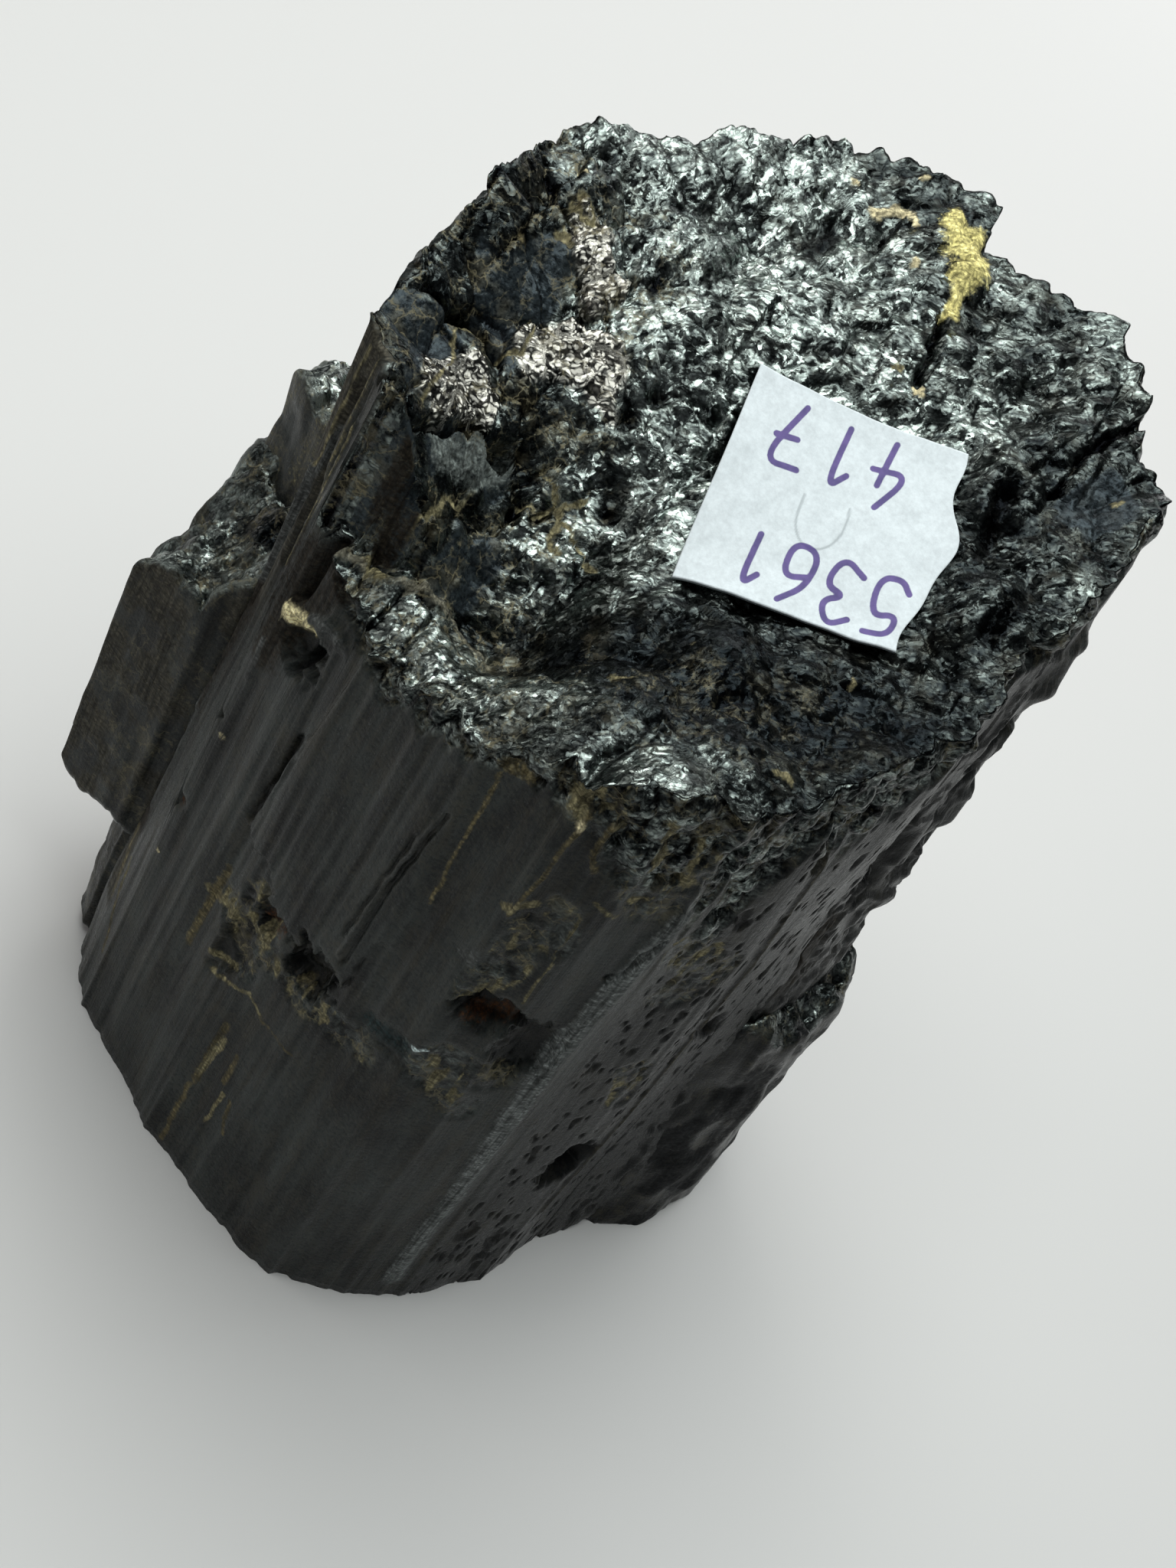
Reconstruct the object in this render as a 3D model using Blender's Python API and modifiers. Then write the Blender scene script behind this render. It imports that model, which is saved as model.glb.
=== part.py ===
# Black tourmaline crystal with a small paper label, a Blender 4.5 construction script
# Sizes are in millimetres and the meshes are written in metres. +Z is up the crystal's length,
# the front is at -Y, and the origin is in the flat base.

import bmesh
import bpy
import numpy as np

MM = 0.001

# Walls of the main crystal: each ridge's place at the base and at the height OUTLINE_TOP
OUTLINE_TOP = 90
RIDGES = {
    "left rib": ((-28.2, -15.4), (-27.6, -15.4)),
    "left groove": ((-26.2, -18), (-25.4, -17.4)),
    "front left": ((-24, -20.5), (-23.6, -20.2)),
    "front fluted": ((-18.2, -24.2), (-18, -24)),
    "front middle": ((-10.6, -28.1), (-10.4, -27.9)),
    "front broad": ((-1.6, -32), (-2, -31.2)),
    "front corner": ((7.1, -33.8), (5.5, -33.2)),
    "front bevel": ((12, -31.8), (11, -32)),
    "grey rib": ((17.4, -28.8), (17.4, -28)),
    "grey groove": ((20.2, -25.8), (19, -24.6)),
    "front right": ((25.6, -20.8), (23.8, -17.5)),
    "right ridge": ((27.6, -12.6), (27.8, -9.5)),
    "right front": ((35, -4), (28.6, -1.5)),
    "right middle": ((38.2, 6), (31.4, 6)),
    "right lobe": ((37, 17), (32.6, 16.5)),
    "right groove": ((31, 21), (28.4, 20.5)),
    "right back": ((30, 25), (26.4, 24)),
    "back right": ((23, 28.5), (21, 27.8)),
    "back notch": ((9, 28.5), (7.5, 27.6)),
    "back step": ((7, 32), (6.4, 31)),
    "back middle": ((-5, 31), (-3.2, 29.7)),
    "back left": ((-14, 26), (-11, 24.8)),
    "left back": ((-23, 18), (-18, 18.5)),
    "left far": ((-29, 9), (-25.7, 9.7)),
    "left middle": ((-31, -1), (-27.8, 1.5)),
    "left near": ((-31, -10), (-28.6, -8)),
}

# Broken top: a front strip, a slope up to the back from BREAK_Y, and a hollow along the middle
FRONT_HEIGHT = 86
BREAK_Y = -9.5
BACK_SLOPE = 0.43
HOLLOW_X = 9
HOLLOW = 0.006

# Dip at the front left of the top
DIP_X = -9
DIP_Y = -20
DIP_SPREAD_X = 6.5
DIP_SPREAD_Y = 8
DIP_DEPTH = 12

# Lower broken step in front of the dip, below a short fluted wall
STEP_Y = -19.7
STEP_HEIGHT = 78.3
STEP_SLOPE = 0.52
STEP_RISE_X = -12
STEP_RISE = 0.8

# Smaller crystals grown along the sides: section corners, heights of the broken lower and upper
# ends at the outer corner, slopes of the upper end along x and y, slope of the lower end along x,
# and how far the crystal leans in x by its upper end
SIDE_CRYSTALS = {
    "left foot": {
        "corners": ((-26, -13), (-29.6, -13.6), (-31.4, -11.5), (-31.4, -6), (-26, -4)),
        "ends": (2, 20),
        "slope": (0.5, 0),
        "under": 0,
        "lean": 0,
    },
    "left low": {
        "corners": ((-27, -14), (-30.2, -14.6), (-38.8, -12), (-38.6, -8.5), (-27, -4)),
        "ends": (21, 51),
        "slope": (0.9, 0.3),
        "under": 0,
        "lean": 0,
    },
    "left middle": {
        "corners": ((-25, -9), (-31, -10), (-38, -5), (-36.6, 1), (-25, 2)),
        "ends": (33, 50),
        "slope": (0.9, 1.4),
        "under": -1.4,
        "lean": 0,
    },
    "left high": {
        "corners": ((-24, -3), (-30, -3.5), (-35.4, 0.5), (-34.6, 6), (-24, 7)),
        "ends": (46, 69),
        "slope": (0.5, -0.1),
        "under": -1.8,
        "lean": 0,
    },
    "right low": {
        "corners": ((26, -12), (31, -7.6), (35.8, -4.6), (38.4, -1), (40.4, 6), (40.4, 12), (30, 16)),
        "ends": (-4, 38),
        "slope": (-0.3, 0),
        "under": 0,
        "lean": -2.4,
    },
}

# Pits broken into the walls: place, radius across, half of the height, and depth
WALL_PITS = (
    ((-5.1, -30.2, 41), 3, 3.5, 1.8),
    ((-10.9, -27.6, 41), 1.6, 2, 1),
    ((-12.5, -26.5, 33), 2, 5, 0.8),
    ((9.5, -32.7, 54.5), 2.8, 2.2, 1.5),
    ((14, -30.8, 50), 2.5, 4, 1.2),
    ((-20, -22.7, 67), 2.6, 2.4, 1.4),
    ((30, -2.6, 66), 2, 4.5, 1.8),
    ((24.4, -20.4, 26), 2.6, 3.5, 1.8),
    ((26.7, -13.4, 46), 1.2, 1.5, 0.9),
    ((-27.5, 6, 60), 3, 6, 1.6),
    ((10, 29, 40), 4, 7, 1.8),
    ((-16, 22, 25), 3, 5, 1.5),
)

# Paper label on the top: its middle, its turn in plan, and how far it lies above the smooth top
LABEL_MIDDLE = (8.4, -0.5)
LABEL_WIDTH = 18.3
LABEL_LENGTH = 17.8
LABEL_TURN = 13
LABEL_RISE = 0.85
LABEL_THICKNESS = 0.35
LABEL_GAP = 0.4
LABEL_WAVE = 0.7

MAIN_CUTS = 27
SIDE_CUTS = 5
LABEL_CUTS = 8
GROUND_DEPTH = 4


# Smooth change from 0 to 1 as the value goes from low to high
def smooth_step(low, high, value):
    share = np.clip((value - low) / (high - low), 0, 1)
    return share * share * (3 - 2 * share)


# The value where it is positive and 0 where it is negative, with a bend of the given width
def ramp(value, width):
    return 0.5 * (value + np.sqrt(value * value + width * width))


def soft_minimum(first, second, width):
    return first - ramp(first - second, width)


# A fixed number from 0 to 1 for each whole-numbered cell
def cell_value(cells, seed):
    mixed = cells[..., 0] * 73856093 ^ cells[..., 1] * 19349663 ^ cells[..., 2] * 83492791
    mixed = mixed ^ (seed * 974711)
    mixed = (mixed ^ (mixed >> 13)) * 1274126177
    mixed = mixed ^ (mixed >> 16)
    return (mixed & 65535) / 65535


# Smooth lumps from -1 to 1, of the given sizes along x, y and z
def lumps(points, size, seed):
    scaled = points / np.array(size, float)
    cells = np.floor(scaled).astype(np.int64)
    share = smooth_step(0, 1, scaled - cells)
    total = np.zeros(points.shape[:-1])
    for corner in np.ndindex(2, 2, 2):
        step = np.array(corner)
        weight = np.prod(np.where(step == 1, share, 1 - share), axis=-1)
        total += weight * cell_value(cells + step, seed)
    return 2 * total - 1


# Height of broken facets: each point lies on the tilted plane of the facet middle nearest to it
def facets(x, y, size, tilt, seed):
    flat = np.stack([x, y, np.zeros_like(x)], axis=-1) / size
    cells = np.floor(flat).astype(np.int64)
    nearest = np.full(x.shape, 1e9)
    height = np.zeros(x.shape)
    for step in np.ndindex(3, 3):
        cell = cells + (step[0] - 1, step[1] - 1, 0)
        across = flat[..., 0] - cell[..., 0] - cell_value(cell, seed)
        along = flat[..., 1] - cell[..., 1] - cell_value(cell, seed + 1)
        distance = across**2 + along**2
        slope_x = 2 * cell_value(cell, seed + 2) - 1
        slope_y = 2 * cell_value(cell, seed + 3) - 1
        plane = size * tilt * (slope_x * across + slope_y * along)
        height = np.where(distance < nearest, plane, height)
        nearest = np.minimum(distance, nearest)
    return height


# Height of the broken top without its roughness
def top_form(x, y):
    strip = FRONT_HEIGHT + HOLLOW * (x - HOLLOW_X) ** 2
    slope = strip + BACK_SLOPE * ramp(y - BREAK_Y, 3)
    away = ((x - DIP_X) / DIP_SPREAD_X) ** 2 + ((y - DIP_Y) / DIP_SPREAD_Y) ** 2
    upper = slope - DIP_DEPTH * np.exp(-0.5 * away)
    step = STEP_HEIGHT + STEP_SLOPE * (y - STEP_Y) + STEP_RISE * ramp(x - STEP_RISE_X, 2)
    lower = soft_minimum(upper, step, 1.5)
    in_front = smooth_step(STEP_Y + 0.6, STEP_Y - 0.6, y)
    return upper + (lower - upper) * in_front


# Places on the label's own axes, from -1 to 1 inside it
def label_place(x, y):
    turn = np.radians(LABEL_TURN)
    from_middle_x = x - LABEL_MIDDLE[0]
    from_middle_y = y - LABEL_MIDDLE[1]
    across = from_middle_x * np.cos(turn) + from_middle_y * np.sin(turn)
    along = from_middle_y * np.cos(turn) - from_middle_x * np.sin(turn)
    return 2 * across / LABEL_WIDTH, 2 * along / LABEL_LENGTH


# Height of the broken top with its lumps and facets, kept below the label
def top_height(x, y):
    points = np.stack([x, y, np.zeros_like(x)], axis=-1)
    rough = 0.9 * lumps(points, (9, 9, 9), 3) + facets(x, y, 5, 0.35, 11)
    across, along = label_place(x, y)
    under_label = (np.abs(across) < 1.35) & (np.abs(along) < 1.35)
    most = LABEL_RISE - LABEL_GAP
    rough = np.where(under_label, np.minimum(rough, most), rough)
    return top_form(x, y) + rough


# How far round a square's edge, from 0 to 1, each of its points lies
def square_turn(a, b):
    reach = np.maximum(np.maximum(np.abs(a), np.abs(b)), 1e-9)
    a = a / reach
    b = b / reach
    near_one = 1 - 1e-6
    beyond_front = np.where(a >= near_one, b + 3, np.where(b >= near_one, 5 - a, 7 - b))
    return np.where(b <= -near_one, a + 1, beyond_front) / 8 % 1


# Points of an outline at each turn from 0 to 1, with every corner on one of the mesh's columns
def outline_points(corners, turn, columns):
    corners = np.array(corners, float)
    closed = np.vstack([corners, corners[:1]])
    lengths = np.linalg.norm(np.diff(closed, axis=0), axis=1)
    reached = np.concatenate([[0], np.cumsum(lengths)]) / lengths.sum()
    stops = np.round(reached * columns) / columns
    return np.interp(turn, stops, closed[:, 0]), np.interp(turn, stops, closed[:, 1])


# Section of the main crystal at each height
def main_section(turn, height):
    columns = 4 * (MAIN_CUTS + 1)
    base_x, base_y = outline_points([ridge[0] for ridge in RIDGES.values()], turn, columns)
    top_x, top_y = outline_points([ridge[1] for ridge in RIDGES.values()], turn, columns)
    share = height / OUTLINE_TOP
    return base_x + (top_x - base_x) * share, base_y + (top_y - base_y) * share


# How far the flutes and lumps of the walls stand out, less the depth of the pits
def wall_relief(points):
    relief = 0.5 * lumps(points, (4, 4, 60), 21) + 0.3 * lumps(points, (7, 7, 15), 22)
    at_back = smooth_step(2, 14, points[..., 1])
    relief = relief + 1.1 * at_back * lumps(points, (9, 9, 300), 23)
    for middle, radius, half_height, depth in WALL_PITS:
        away = (points - middle) / (radius, radius, half_height)
        relief = relief - depth * np.exp(-((away**2).sum(axis=-1) ** 2))
    return relief


# The main crystal: walls between the base and top outlines, and the broken top
def main_form(cube):
    a, b, c = cube.T
    ring = np.maximum(np.abs(a), np.abs(b))
    turn = square_turn(a, b)
    rim_height = top_height(*main_section(turn, OUTLINE_TOP))
    height = (c + 1) / 2 * (rim_height + GROUND_DEPTH) - GROUND_DEPTH
    x, y = main_section(turn, height)
    grow = 1 + wall_relief(np.stack([x, y, height], axis=-1)) / np.hypot(x, y)
    x = x * grow * ring
    y = y * grow * ring
    height = np.where(c > 1 - 1e-6, top_height(x, y), height)
    return np.stack([x, y, height], axis=-1)


# A smaller crystal: its section, its lean, and its lumpy broken ends
def side_form(cube, corners, ends, slope, under, lean):
    a, b, c = cube.T
    ring = np.maximum(np.abs(a), np.abs(b))
    middle_x, middle_y = np.mean(corners, axis=0)
    x, y = outline_points(corners, square_turn(a, b), 4 * (SIDE_CUTS + 1))
    x = middle_x + (x - middle_x) * ring
    y = middle_y + (y - middle_y) * ring
    flat = np.stack([x, y, np.zeros_like(x)], axis=-1)
    outer_x, outer_y = corners[2]
    upper = ends[1] + slope[0] * (x - outer_x) + slope[1] * (y - outer_y) + 1.2 * lumps(flat, (3, 3, 3), 31)
    lower = ends[0] + under * (x - outer_x) + 1.5 * lumps(flat, (4, 4, 4), 32)
    height = lower + (c + 1) / 2 * (upper - lower)
    return np.stack([x + lean * height / ends[1], y, height], axis=-1)


# A cube cut into a grid, with form giving the place of each vertex from its cube coordinates
def block(cuts, form, **settings):
    shape = bmesh.new()
    bmesh.ops.create_cube(shape, size=2)
    bmesh.ops.subdivide_edges(shape, edges=shape.edges, cuts=cuts, use_grid_fill=True)
    mesh = bpy.data.meshes.new("block")
    shape.to_mesh(mesh)
    shape.free()
    cube = np.empty(len(mesh.vertices) * 3)
    mesh.vertices.foreach_get("co", cube)
    points = form(cube.reshape(-1, 3), **settings) * MM
    mesh.vertices.foreach_set("co", points.ravel())
    mesh.update()
    return mesh


def make_material(name, color, roughness):
    material = bpy.data.materials.new(name)
    material.use_nodes = True
    shader = material.node_tree.nodes["Principled BSDF"]
    shader.inputs["Base Color"].default_value = (*color, 1)
    shader.inputs["Roughness"].default_value = roughness
    shader.inputs["Metallic"].default_value = 0
    return material


def make_collection(name):
    collection = bpy.data.collections.new(name)
    bpy.context.scene.collection.children.link(collection)
    return collection


def make_helper(name, mesh, helpers):
    helper = bpy.data.objects.new(name, mesh)
    helpers.objects.link(helper)
    helper.hide_render = True
    helper.display_type = "WIRE"
    return helper


def add_boolean(target, operation, other):
    modifier = target.modifiers.new(other.name, "BOOLEAN")
    modifier.operation = operation
    modifier.object = other


# A box whose upper face is the plane that the crystal stands on
def ground_mesh():
    shape = bmesh.new()
    bmesh.ops.create_cube(shape, size=2)
    bmesh.ops.translate(shape, vec=(0, 0, -1), verts=shape.verts)
    bmesh.ops.scale(shape, vec=(60 * MM, 60 * MM, 10 * MM), verts=shape.verts)
    mesh = bpy.data.meshes.new("ground")
    shape.to_mesh(mesh)
    shape.free()
    return mesh


# One solid: the main crystal, the smaller crystals joined to it, and a flat base
def make_crystal(parts, helpers):
    crystal = bpy.data.objects.new("crystal", block(MAIN_CUTS, main_form))
    crystal.data.materials.append(make_material("black tourmaline", (0.015, 0.016, 0.018), 0.35))
    parts.objects.link(crystal)
    for name, settings in SIDE_CRYSTALS.items():
        mesh = block(SIDE_CUTS, side_form, **settings)
        add_boolean(crystal, "UNION", make_helper(name + " crystal", mesh, helpers))
    add_boolean(crystal, "DIFFERENCE", make_helper("ground", ground_mesh(), helpers))


# A sheet that follows the smooth top, with one wavy edge
def make_label(parts):
    shape = bmesh.new()
    bmesh.ops.create_grid(shape, x_segments=LABEL_CUTS, y_segments=LABEL_CUTS, size=1)
    mesh = bpy.data.meshes.new("paper_label")
    shape.to_mesh(mesh)
    shape.free()
    square = np.empty(len(mesh.vertices) * 3)
    mesh.vertices.foreach_get("co", square)
    a, b, flat = square.reshape(-1, 3).T
    wave = LABEL_WAVE * np.sin(4 * b + 0.4) * smooth_step(0, 1, a)
    across = a * LABEL_WIDTH / 2 + wave
    along = b * LABEL_LENGTH / 2
    turn = np.radians(LABEL_TURN)
    x = LABEL_MIDDLE[0] + across * np.cos(turn) - along * np.sin(turn)
    y = LABEL_MIDDLE[1] + across * np.sin(turn) + along * np.cos(turn)
    height = top_form(x, y) + LABEL_RISE + flat
    mesh.vertices.foreach_set("co", (np.stack([x, y, height], axis=-1) * MM).ravel())
    mesh.materials.append(make_material("white paper", (0.8, 0.82, 0.84), 0.8))
    label = bpy.data.objects.new("paper_label", mesh)
    parts.objects.link(label)
    sheet = label.modifiers.new("paper thickness", "SOLIDIFY")
    sheet.thickness = LABEL_THICKNESS * MM
    sheet.offset = 1


for old_object in list(bpy.data.objects):
    bpy.data.objects.remove(old_object, do_unlink=True)
tourmaline = make_collection("Tourmaline crystal")
cutters = make_collection("Cutters")
make_crystal(tourmaline, cutters)
make_label(tourmaline)
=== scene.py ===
import bpy
import numpy as np
from mathutils import Matrix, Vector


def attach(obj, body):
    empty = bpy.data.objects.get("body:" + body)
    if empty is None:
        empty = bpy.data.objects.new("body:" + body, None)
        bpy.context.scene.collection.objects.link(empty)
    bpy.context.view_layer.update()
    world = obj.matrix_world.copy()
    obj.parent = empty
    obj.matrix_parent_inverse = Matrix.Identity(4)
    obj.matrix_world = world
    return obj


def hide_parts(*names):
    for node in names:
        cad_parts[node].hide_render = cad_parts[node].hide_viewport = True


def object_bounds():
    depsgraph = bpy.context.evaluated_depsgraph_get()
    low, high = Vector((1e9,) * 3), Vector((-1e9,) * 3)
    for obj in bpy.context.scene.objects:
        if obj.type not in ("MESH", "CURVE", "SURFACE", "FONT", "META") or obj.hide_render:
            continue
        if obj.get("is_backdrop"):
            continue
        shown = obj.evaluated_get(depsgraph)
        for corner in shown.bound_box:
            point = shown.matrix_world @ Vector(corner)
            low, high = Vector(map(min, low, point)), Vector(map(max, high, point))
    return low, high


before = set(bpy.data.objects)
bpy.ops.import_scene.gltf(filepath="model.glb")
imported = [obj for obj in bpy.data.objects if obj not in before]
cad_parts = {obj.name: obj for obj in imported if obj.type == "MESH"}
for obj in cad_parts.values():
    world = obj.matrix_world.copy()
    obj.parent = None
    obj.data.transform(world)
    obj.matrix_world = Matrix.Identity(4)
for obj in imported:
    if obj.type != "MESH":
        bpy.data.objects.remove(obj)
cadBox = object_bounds()
millimetre = 0.001
print("frame loaded")


# Camera and light

camera = {
    "lens": 54.09,
    "sensor": 36,
    "nearest": 5,  # nothing closer than this is drawn, in millimetres
    "place": (5.349, -148.433, 209.934),
    "right": (0.821, 0.4203, 0.3866),
    "look": (0.0, 0.677, -0.736),
}


# Adds an object to the scene at a place in millimetres, with its x, y and z axes along three unit vectors
def addAt(holder, place, *axes):
    matrix = np.eye(4)
    matrix[:3, :3] = np.transpose(axes)
    matrix[:3, 3] = np.array(place) * millimetre
    holder.matrix_world = Matrix(matrix.tolist())
    bpy.context.scene.collection.objects.link(holder)


# The camera looks along a unit vector, and its right axis is made square to that vector
def makeCamera(values):
    data = bpy.data.cameras.new("camera")
    data.lens = values["lens"]
    data.sensor_width = values["sensor"]
    data.sensor_fit = "AUTO"
    data.clip_start = values["nearest"] * millimetre
    look = np.array(values["look"], float)
    look /= np.linalg.norm(look)
    right = np.array(values["right"], float)
    right -= look * (right @ look)
    right /= np.linalg.norm(right)
    holder = bpy.data.objects.new("camera", data)
    addAt(holder, values["place"], right, np.cross(right, look), -look)
    bpy.context.scene.camera = holder


makeCamera(camera)

lightAim = (0, 0, 60)
lights = {
    "top softbox": {"place": (10, 40, 560), "size": 460, "brightness": 4.6, "colour": (0.96, 1, 0.98)},
    "key softbox": {"place": (-230, 240, 450), "size": 300, "brightness": 2.6, "colour": (1, 0.98, 0.94)},
    "left fill": {"place": (-420, -160, 300), "size": 300, "brightness": 1.4, "colour": (1, 0.97, 0.93)},
    "back fill": {"place": (60, 430, 190), "size": 300, "brightness": 2.2, "colour": (1, 1, 1)},
}


# Square area lamps that all face one place near the middle of the crystal
def makeLights(lamps):
    for name, values in lamps.items():
        data = bpy.data.lights.new(name, "AREA")
        data.shape = "SQUARE"
        data.size = values["size"] * millimetre
        data.energy = values["brightness"] * np.pi * data.size**2
        data.color = values["colour"]
        back = np.subtract(values["place"], lightAim)
        back = back / np.linalg.norm(back)
        side = np.cross((0, 1, 0.01), back)
        side /= np.linalg.norm(side)
        addAt(bpy.data.objects.new(name, data), values["place"], side, np.cross(back, side), back)


makeLights(lights)

room = {
    "brightness": 0.06,
    "colour": (0.9, 0.93, 1),
    "floorColour": (0.64, 0.64, 0.635),
    "floorRoughness": 0.9,
    "floorSize": 3000,
}


# A plain pale room: an even world colour and a flat floor at the height of the base
def makeRoom(values):
    world = bpy.data.worlds.new("room")
    world.use_nodes = True
    background = world.node_tree.nodes["Background"]
    background.inputs["Color"].default_value = (*values["colour"], 1)
    background.inputs["Strength"].default_value = values["brightness"]
    bpy.context.scene.world = world
    reach = values["floorSize"] / 2 * millimetre
    mesh = bpy.data.meshes.new("floor")
    corners = [(-reach, -reach, 0), (reach, -reach, 0), (reach, reach, 0), (-reach, reach, 0)]
    mesh.from_pydata(corners, [], [(0, 1, 2, 3)])
    floor = bpy.data.objects.new("floor", mesh)
    finish = bpy.data.materials.new("floor paint")
    finish.use_nodes = True
    shader = finish.node_tree.nodes["Principled BSDF"]
    shader.inputs["Base Color"].default_value = (*values["floorColour"], 1)
    shader.inputs["Roughness"].default_value = values["floorRoughness"]
    mesh.materials.append(finish)
    bpy.context.scene.collection.objects.link(floor)
    floor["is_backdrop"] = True


makeRoom(room)
bpy.context.scene.view_settings.view_transform = "Standard"
print("camera, lamps and floor made")


# Noise and helpers, all in millimetres and worked out for whole arrays

# Smooth change from 0 to 1 as the value goes from low to high
def smoothStep(low, high, value):
    share = np.clip((value - low) / (high - low), 0, 1)
    return share * share * (3 - 2 * share)


# The value where it is positive and 0 where it is negative, with a bend of the given width
def ramp(value, width):
    return 0.5 * (value + np.sqrt(value * value + width * width))


# The smaller of two values, blended over the given width
def softMinimum(first, second, width):
    return first - ramp(first - second, width)


# A fixed number from 0 to 1 for each whole-numbered cell, from mixing its three indices
def cellValue(cells, seed):
    mixed = cells[..., 0] * 73856093 ^ cells[..., 1] * 19349663 ^ cells[..., 2] * 83492791
    mixed = mixed ^ (seed * 974711)
    mixed = (mixed ^ (mixed >> 13)) * 1274126177
    mixed = mixed ^ (mixed >> 16)
    return (mixed & 65535) / 65535


# Value noise from -1 to 1: numbers at the corners of cells of the given size, blended smoothly between them.
# The size is one number, or one for each axis.
def lumps(points, size, seed):
    scaled = points / np.array(size, float)
    cells = np.floor(scaled).astype(np.int64)
    share = smoothStep(0, 1, scaled - cells)
    total = np.zeros(points.shape[:-1])
    for corner in np.ndindex(2, 2, 2):
        step = np.array(corner)
        weight = np.prod(np.where(step == 1, share, 1 - share), axis=-1)
        total += weight * cellValue(cells + step, seed)
    return 2 * total - 1


# Value noise of several sizes added up, each half as large and half as high as the one before
def manyLumps(points, size, seed, layers=3):
    total = np.zeros(points.shape[:-1])
    for layer in range(layers):
        total += lumps(points, np.array(size, float) / 2**layer, seed + layer) / 2**layer
    return total


# x, y and z as one array of points
def stacked(x, y, z=0.0):
    return np.stack(np.broadcast_arrays(x, y, z), axis=-1).astype(float)


# The cell middles round each point: how far across and along from each the point lies, in cells, the height
# there of a plane through the middle with slopes of its own, and one more number of its own
def nearCells(x, y, size, seed):
    flat = stacked(x, y) / size
    cells = np.floor(flat).astype(np.int64)
    for step in np.ndindex(3, 3):
        cell = cells + (step[0] - 1, step[1] - 1, 0)
        across = flat[..., 0] - cell[..., 0] - cellValue(cell, seed)
        along = flat[..., 1] - cell[..., 1] - cellValue(cell, seed + 1)
        slopeX = 2 * cellValue(cell, seed + 2) - 1
        slopeY = 2 * cellValue(cell, seed + 3) - 1
        yield across, along, slopeX * across + slopeY * along, cellValue(cell, seed + 4)


# Broken facets: each point lies on the tilted plane of the facet middle nearest to it, which rises by size
# times tilt times the plane's height in cells.
# It also gives that middle, the facet's own number, and twice the distance to the facet's edge.
def facetCells(x, y, size, tilt, seed):
    nearest = np.full(x.shape, 1e9)
    second = np.full(x.shape, 1e9)
    height, middleX, middleY, own = (np.zeros(x.shape) for _ in range(4))
    for across, along, plane, number in nearCells(x, y, size, seed):
        distance = across**2 + along**2
        closer = distance < nearest
        height = np.where(closer, size * tilt * plane, height)
        middleX = np.where(closer, x - across * size, middleX)
        middleY = np.where(closer, y - along * size, middleY)
        own = np.where(closer, number, own)
        second = np.minimum(second, np.maximum(distance, nearest))
        nearest = np.minimum(distance, nearest)
    return height, middleX, middleY, own, size * (np.sqrt(second) - np.sqrt(nearest))


grainRise = 0.35  # how much some grains stand above others, in cells


# Grains that touch in creases: the highest of the tilted, slightly domed caps of the nearby cell middles.
# Each is its own rise, plus tilt times its plane, less dome times the squared distance, all times size.
# It also gives the distance above the next highest, which is small along the creases.
def grains(x, y, size, tilt, dome, seed):
    best = np.full(x.shape, -1e9)
    second = np.full(x.shape, -1e9)
    for across, along, plane, number in nearCells(x, y, size, seed):
        height = grainRise * number + tilt * plane - dome * (across**2 + along**2)
        second = np.maximum(second, np.minimum(best, height))
        best = np.maximum(best, height)
    return size * best, size * (best - second)


# How strongly a crease shows, which falls off as e to the minus square of the gap over the width
def creaseShare(gap, width):
    return np.exp(-((gap / width) ** 2))


# How near each point lies to a broken line or a single point: e to the minus cube of the distance over the
# width, which is 1 on the line and nearly 0 beyond 1.6 widths. A line of x and y alone is compared in plan.
def nearLine(points, line, width):
    line = np.array(line, float)
    points = points[..., :line.shape[1]]
    least = np.linalg.norm(points - line[0], axis=-1)
    for start, end in zip(line[:-1], line[1:]):
        way = end - start
        share = np.clip(((points - start) @ way) / (way @ way), 0, 1)
        distance = np.linalg.norm(points - start - share[..., None] * way, axis=-1)
        least = np.minimum(least, distance)
    return np.exp(-((least / width) ** 3))


# Colours of what lies on the stone or shows in its chips, each with its strength. Some are painted light: the
# white one is a painted highlight on a tiny crystal face, the pale grey of the grey rib is partly a painted
# highlight, and black, over the low right crystal, is painted shade. A dark mark has none: it is painted
# shade.
stains = {
    "tan": ((0.2, 0.178, 0.1), 1.1),
    "sand": ((0.16, 0.152, 0.115), 0.95),
    "ochre": ((0.125, 0.105, 0.055), 0.95),
    "rust": ((0.1, 0.038, 0.012), 0.7),
    "cream": ((0.6, 0.53, 0.33), 1.2),
    "chip": ((0.95, 0.85, 0.5), 1.4),
    "yellow": ((0.74, 0.66, 0.27), 1.25),
    "grey": ((0.075, 0.08, 0.078), 0.8),
    "ashAndHighlight": ((0.15, 0.162, 0.158), 1.25),
    "slate": ((0.15, 0.17, 0.16), 0.95),
    "white": ((0.8, 0.95, 0.95), 1.4),
    "brown": ((0.022, 0.018, 0.013), 1.0),
    "teal": ((0.02, 0.034, 0.036), 0.9),
    "bark": ((0.05, 0.046, 0.035), 1.1),
    "black": ((0.006, 0.007, 0.008), 0.9),
}
darkPerDepth = 1.6  # painted shade in dents: a dark mark of 1 / 1.6 mm or more is wholly dark, and a shallower one less


# Adds up marks: how far they raise the surface, the colour of the last mark at each point, how strong the
# strongest is, and how much painted shade the dark marks put in their dents
def addMarks(points, marks):
    rise, strength, dark = (np.zeros(points.shape[:-1]) for _ in range(3))
    colour = np.zeros((*points.shape[:-1], 3))
    for kind, width, height, line in marks:
        near = nearLine(points, line, width)
        rise += height * near
        if kind == "dark":
            dark = np.maximum(dark, near * min(1, -darkPerDepth * height))
            continue
        ownColour, opacity = stains[kind]
        share = smoothStep(0.05, 0.4, near)[..., None]
        colour = colour * (1 - share) + np.array(ownColour) * share
        strength = np.maximum(strength, opacity * near)
    return rise, colour, strength, dark


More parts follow.
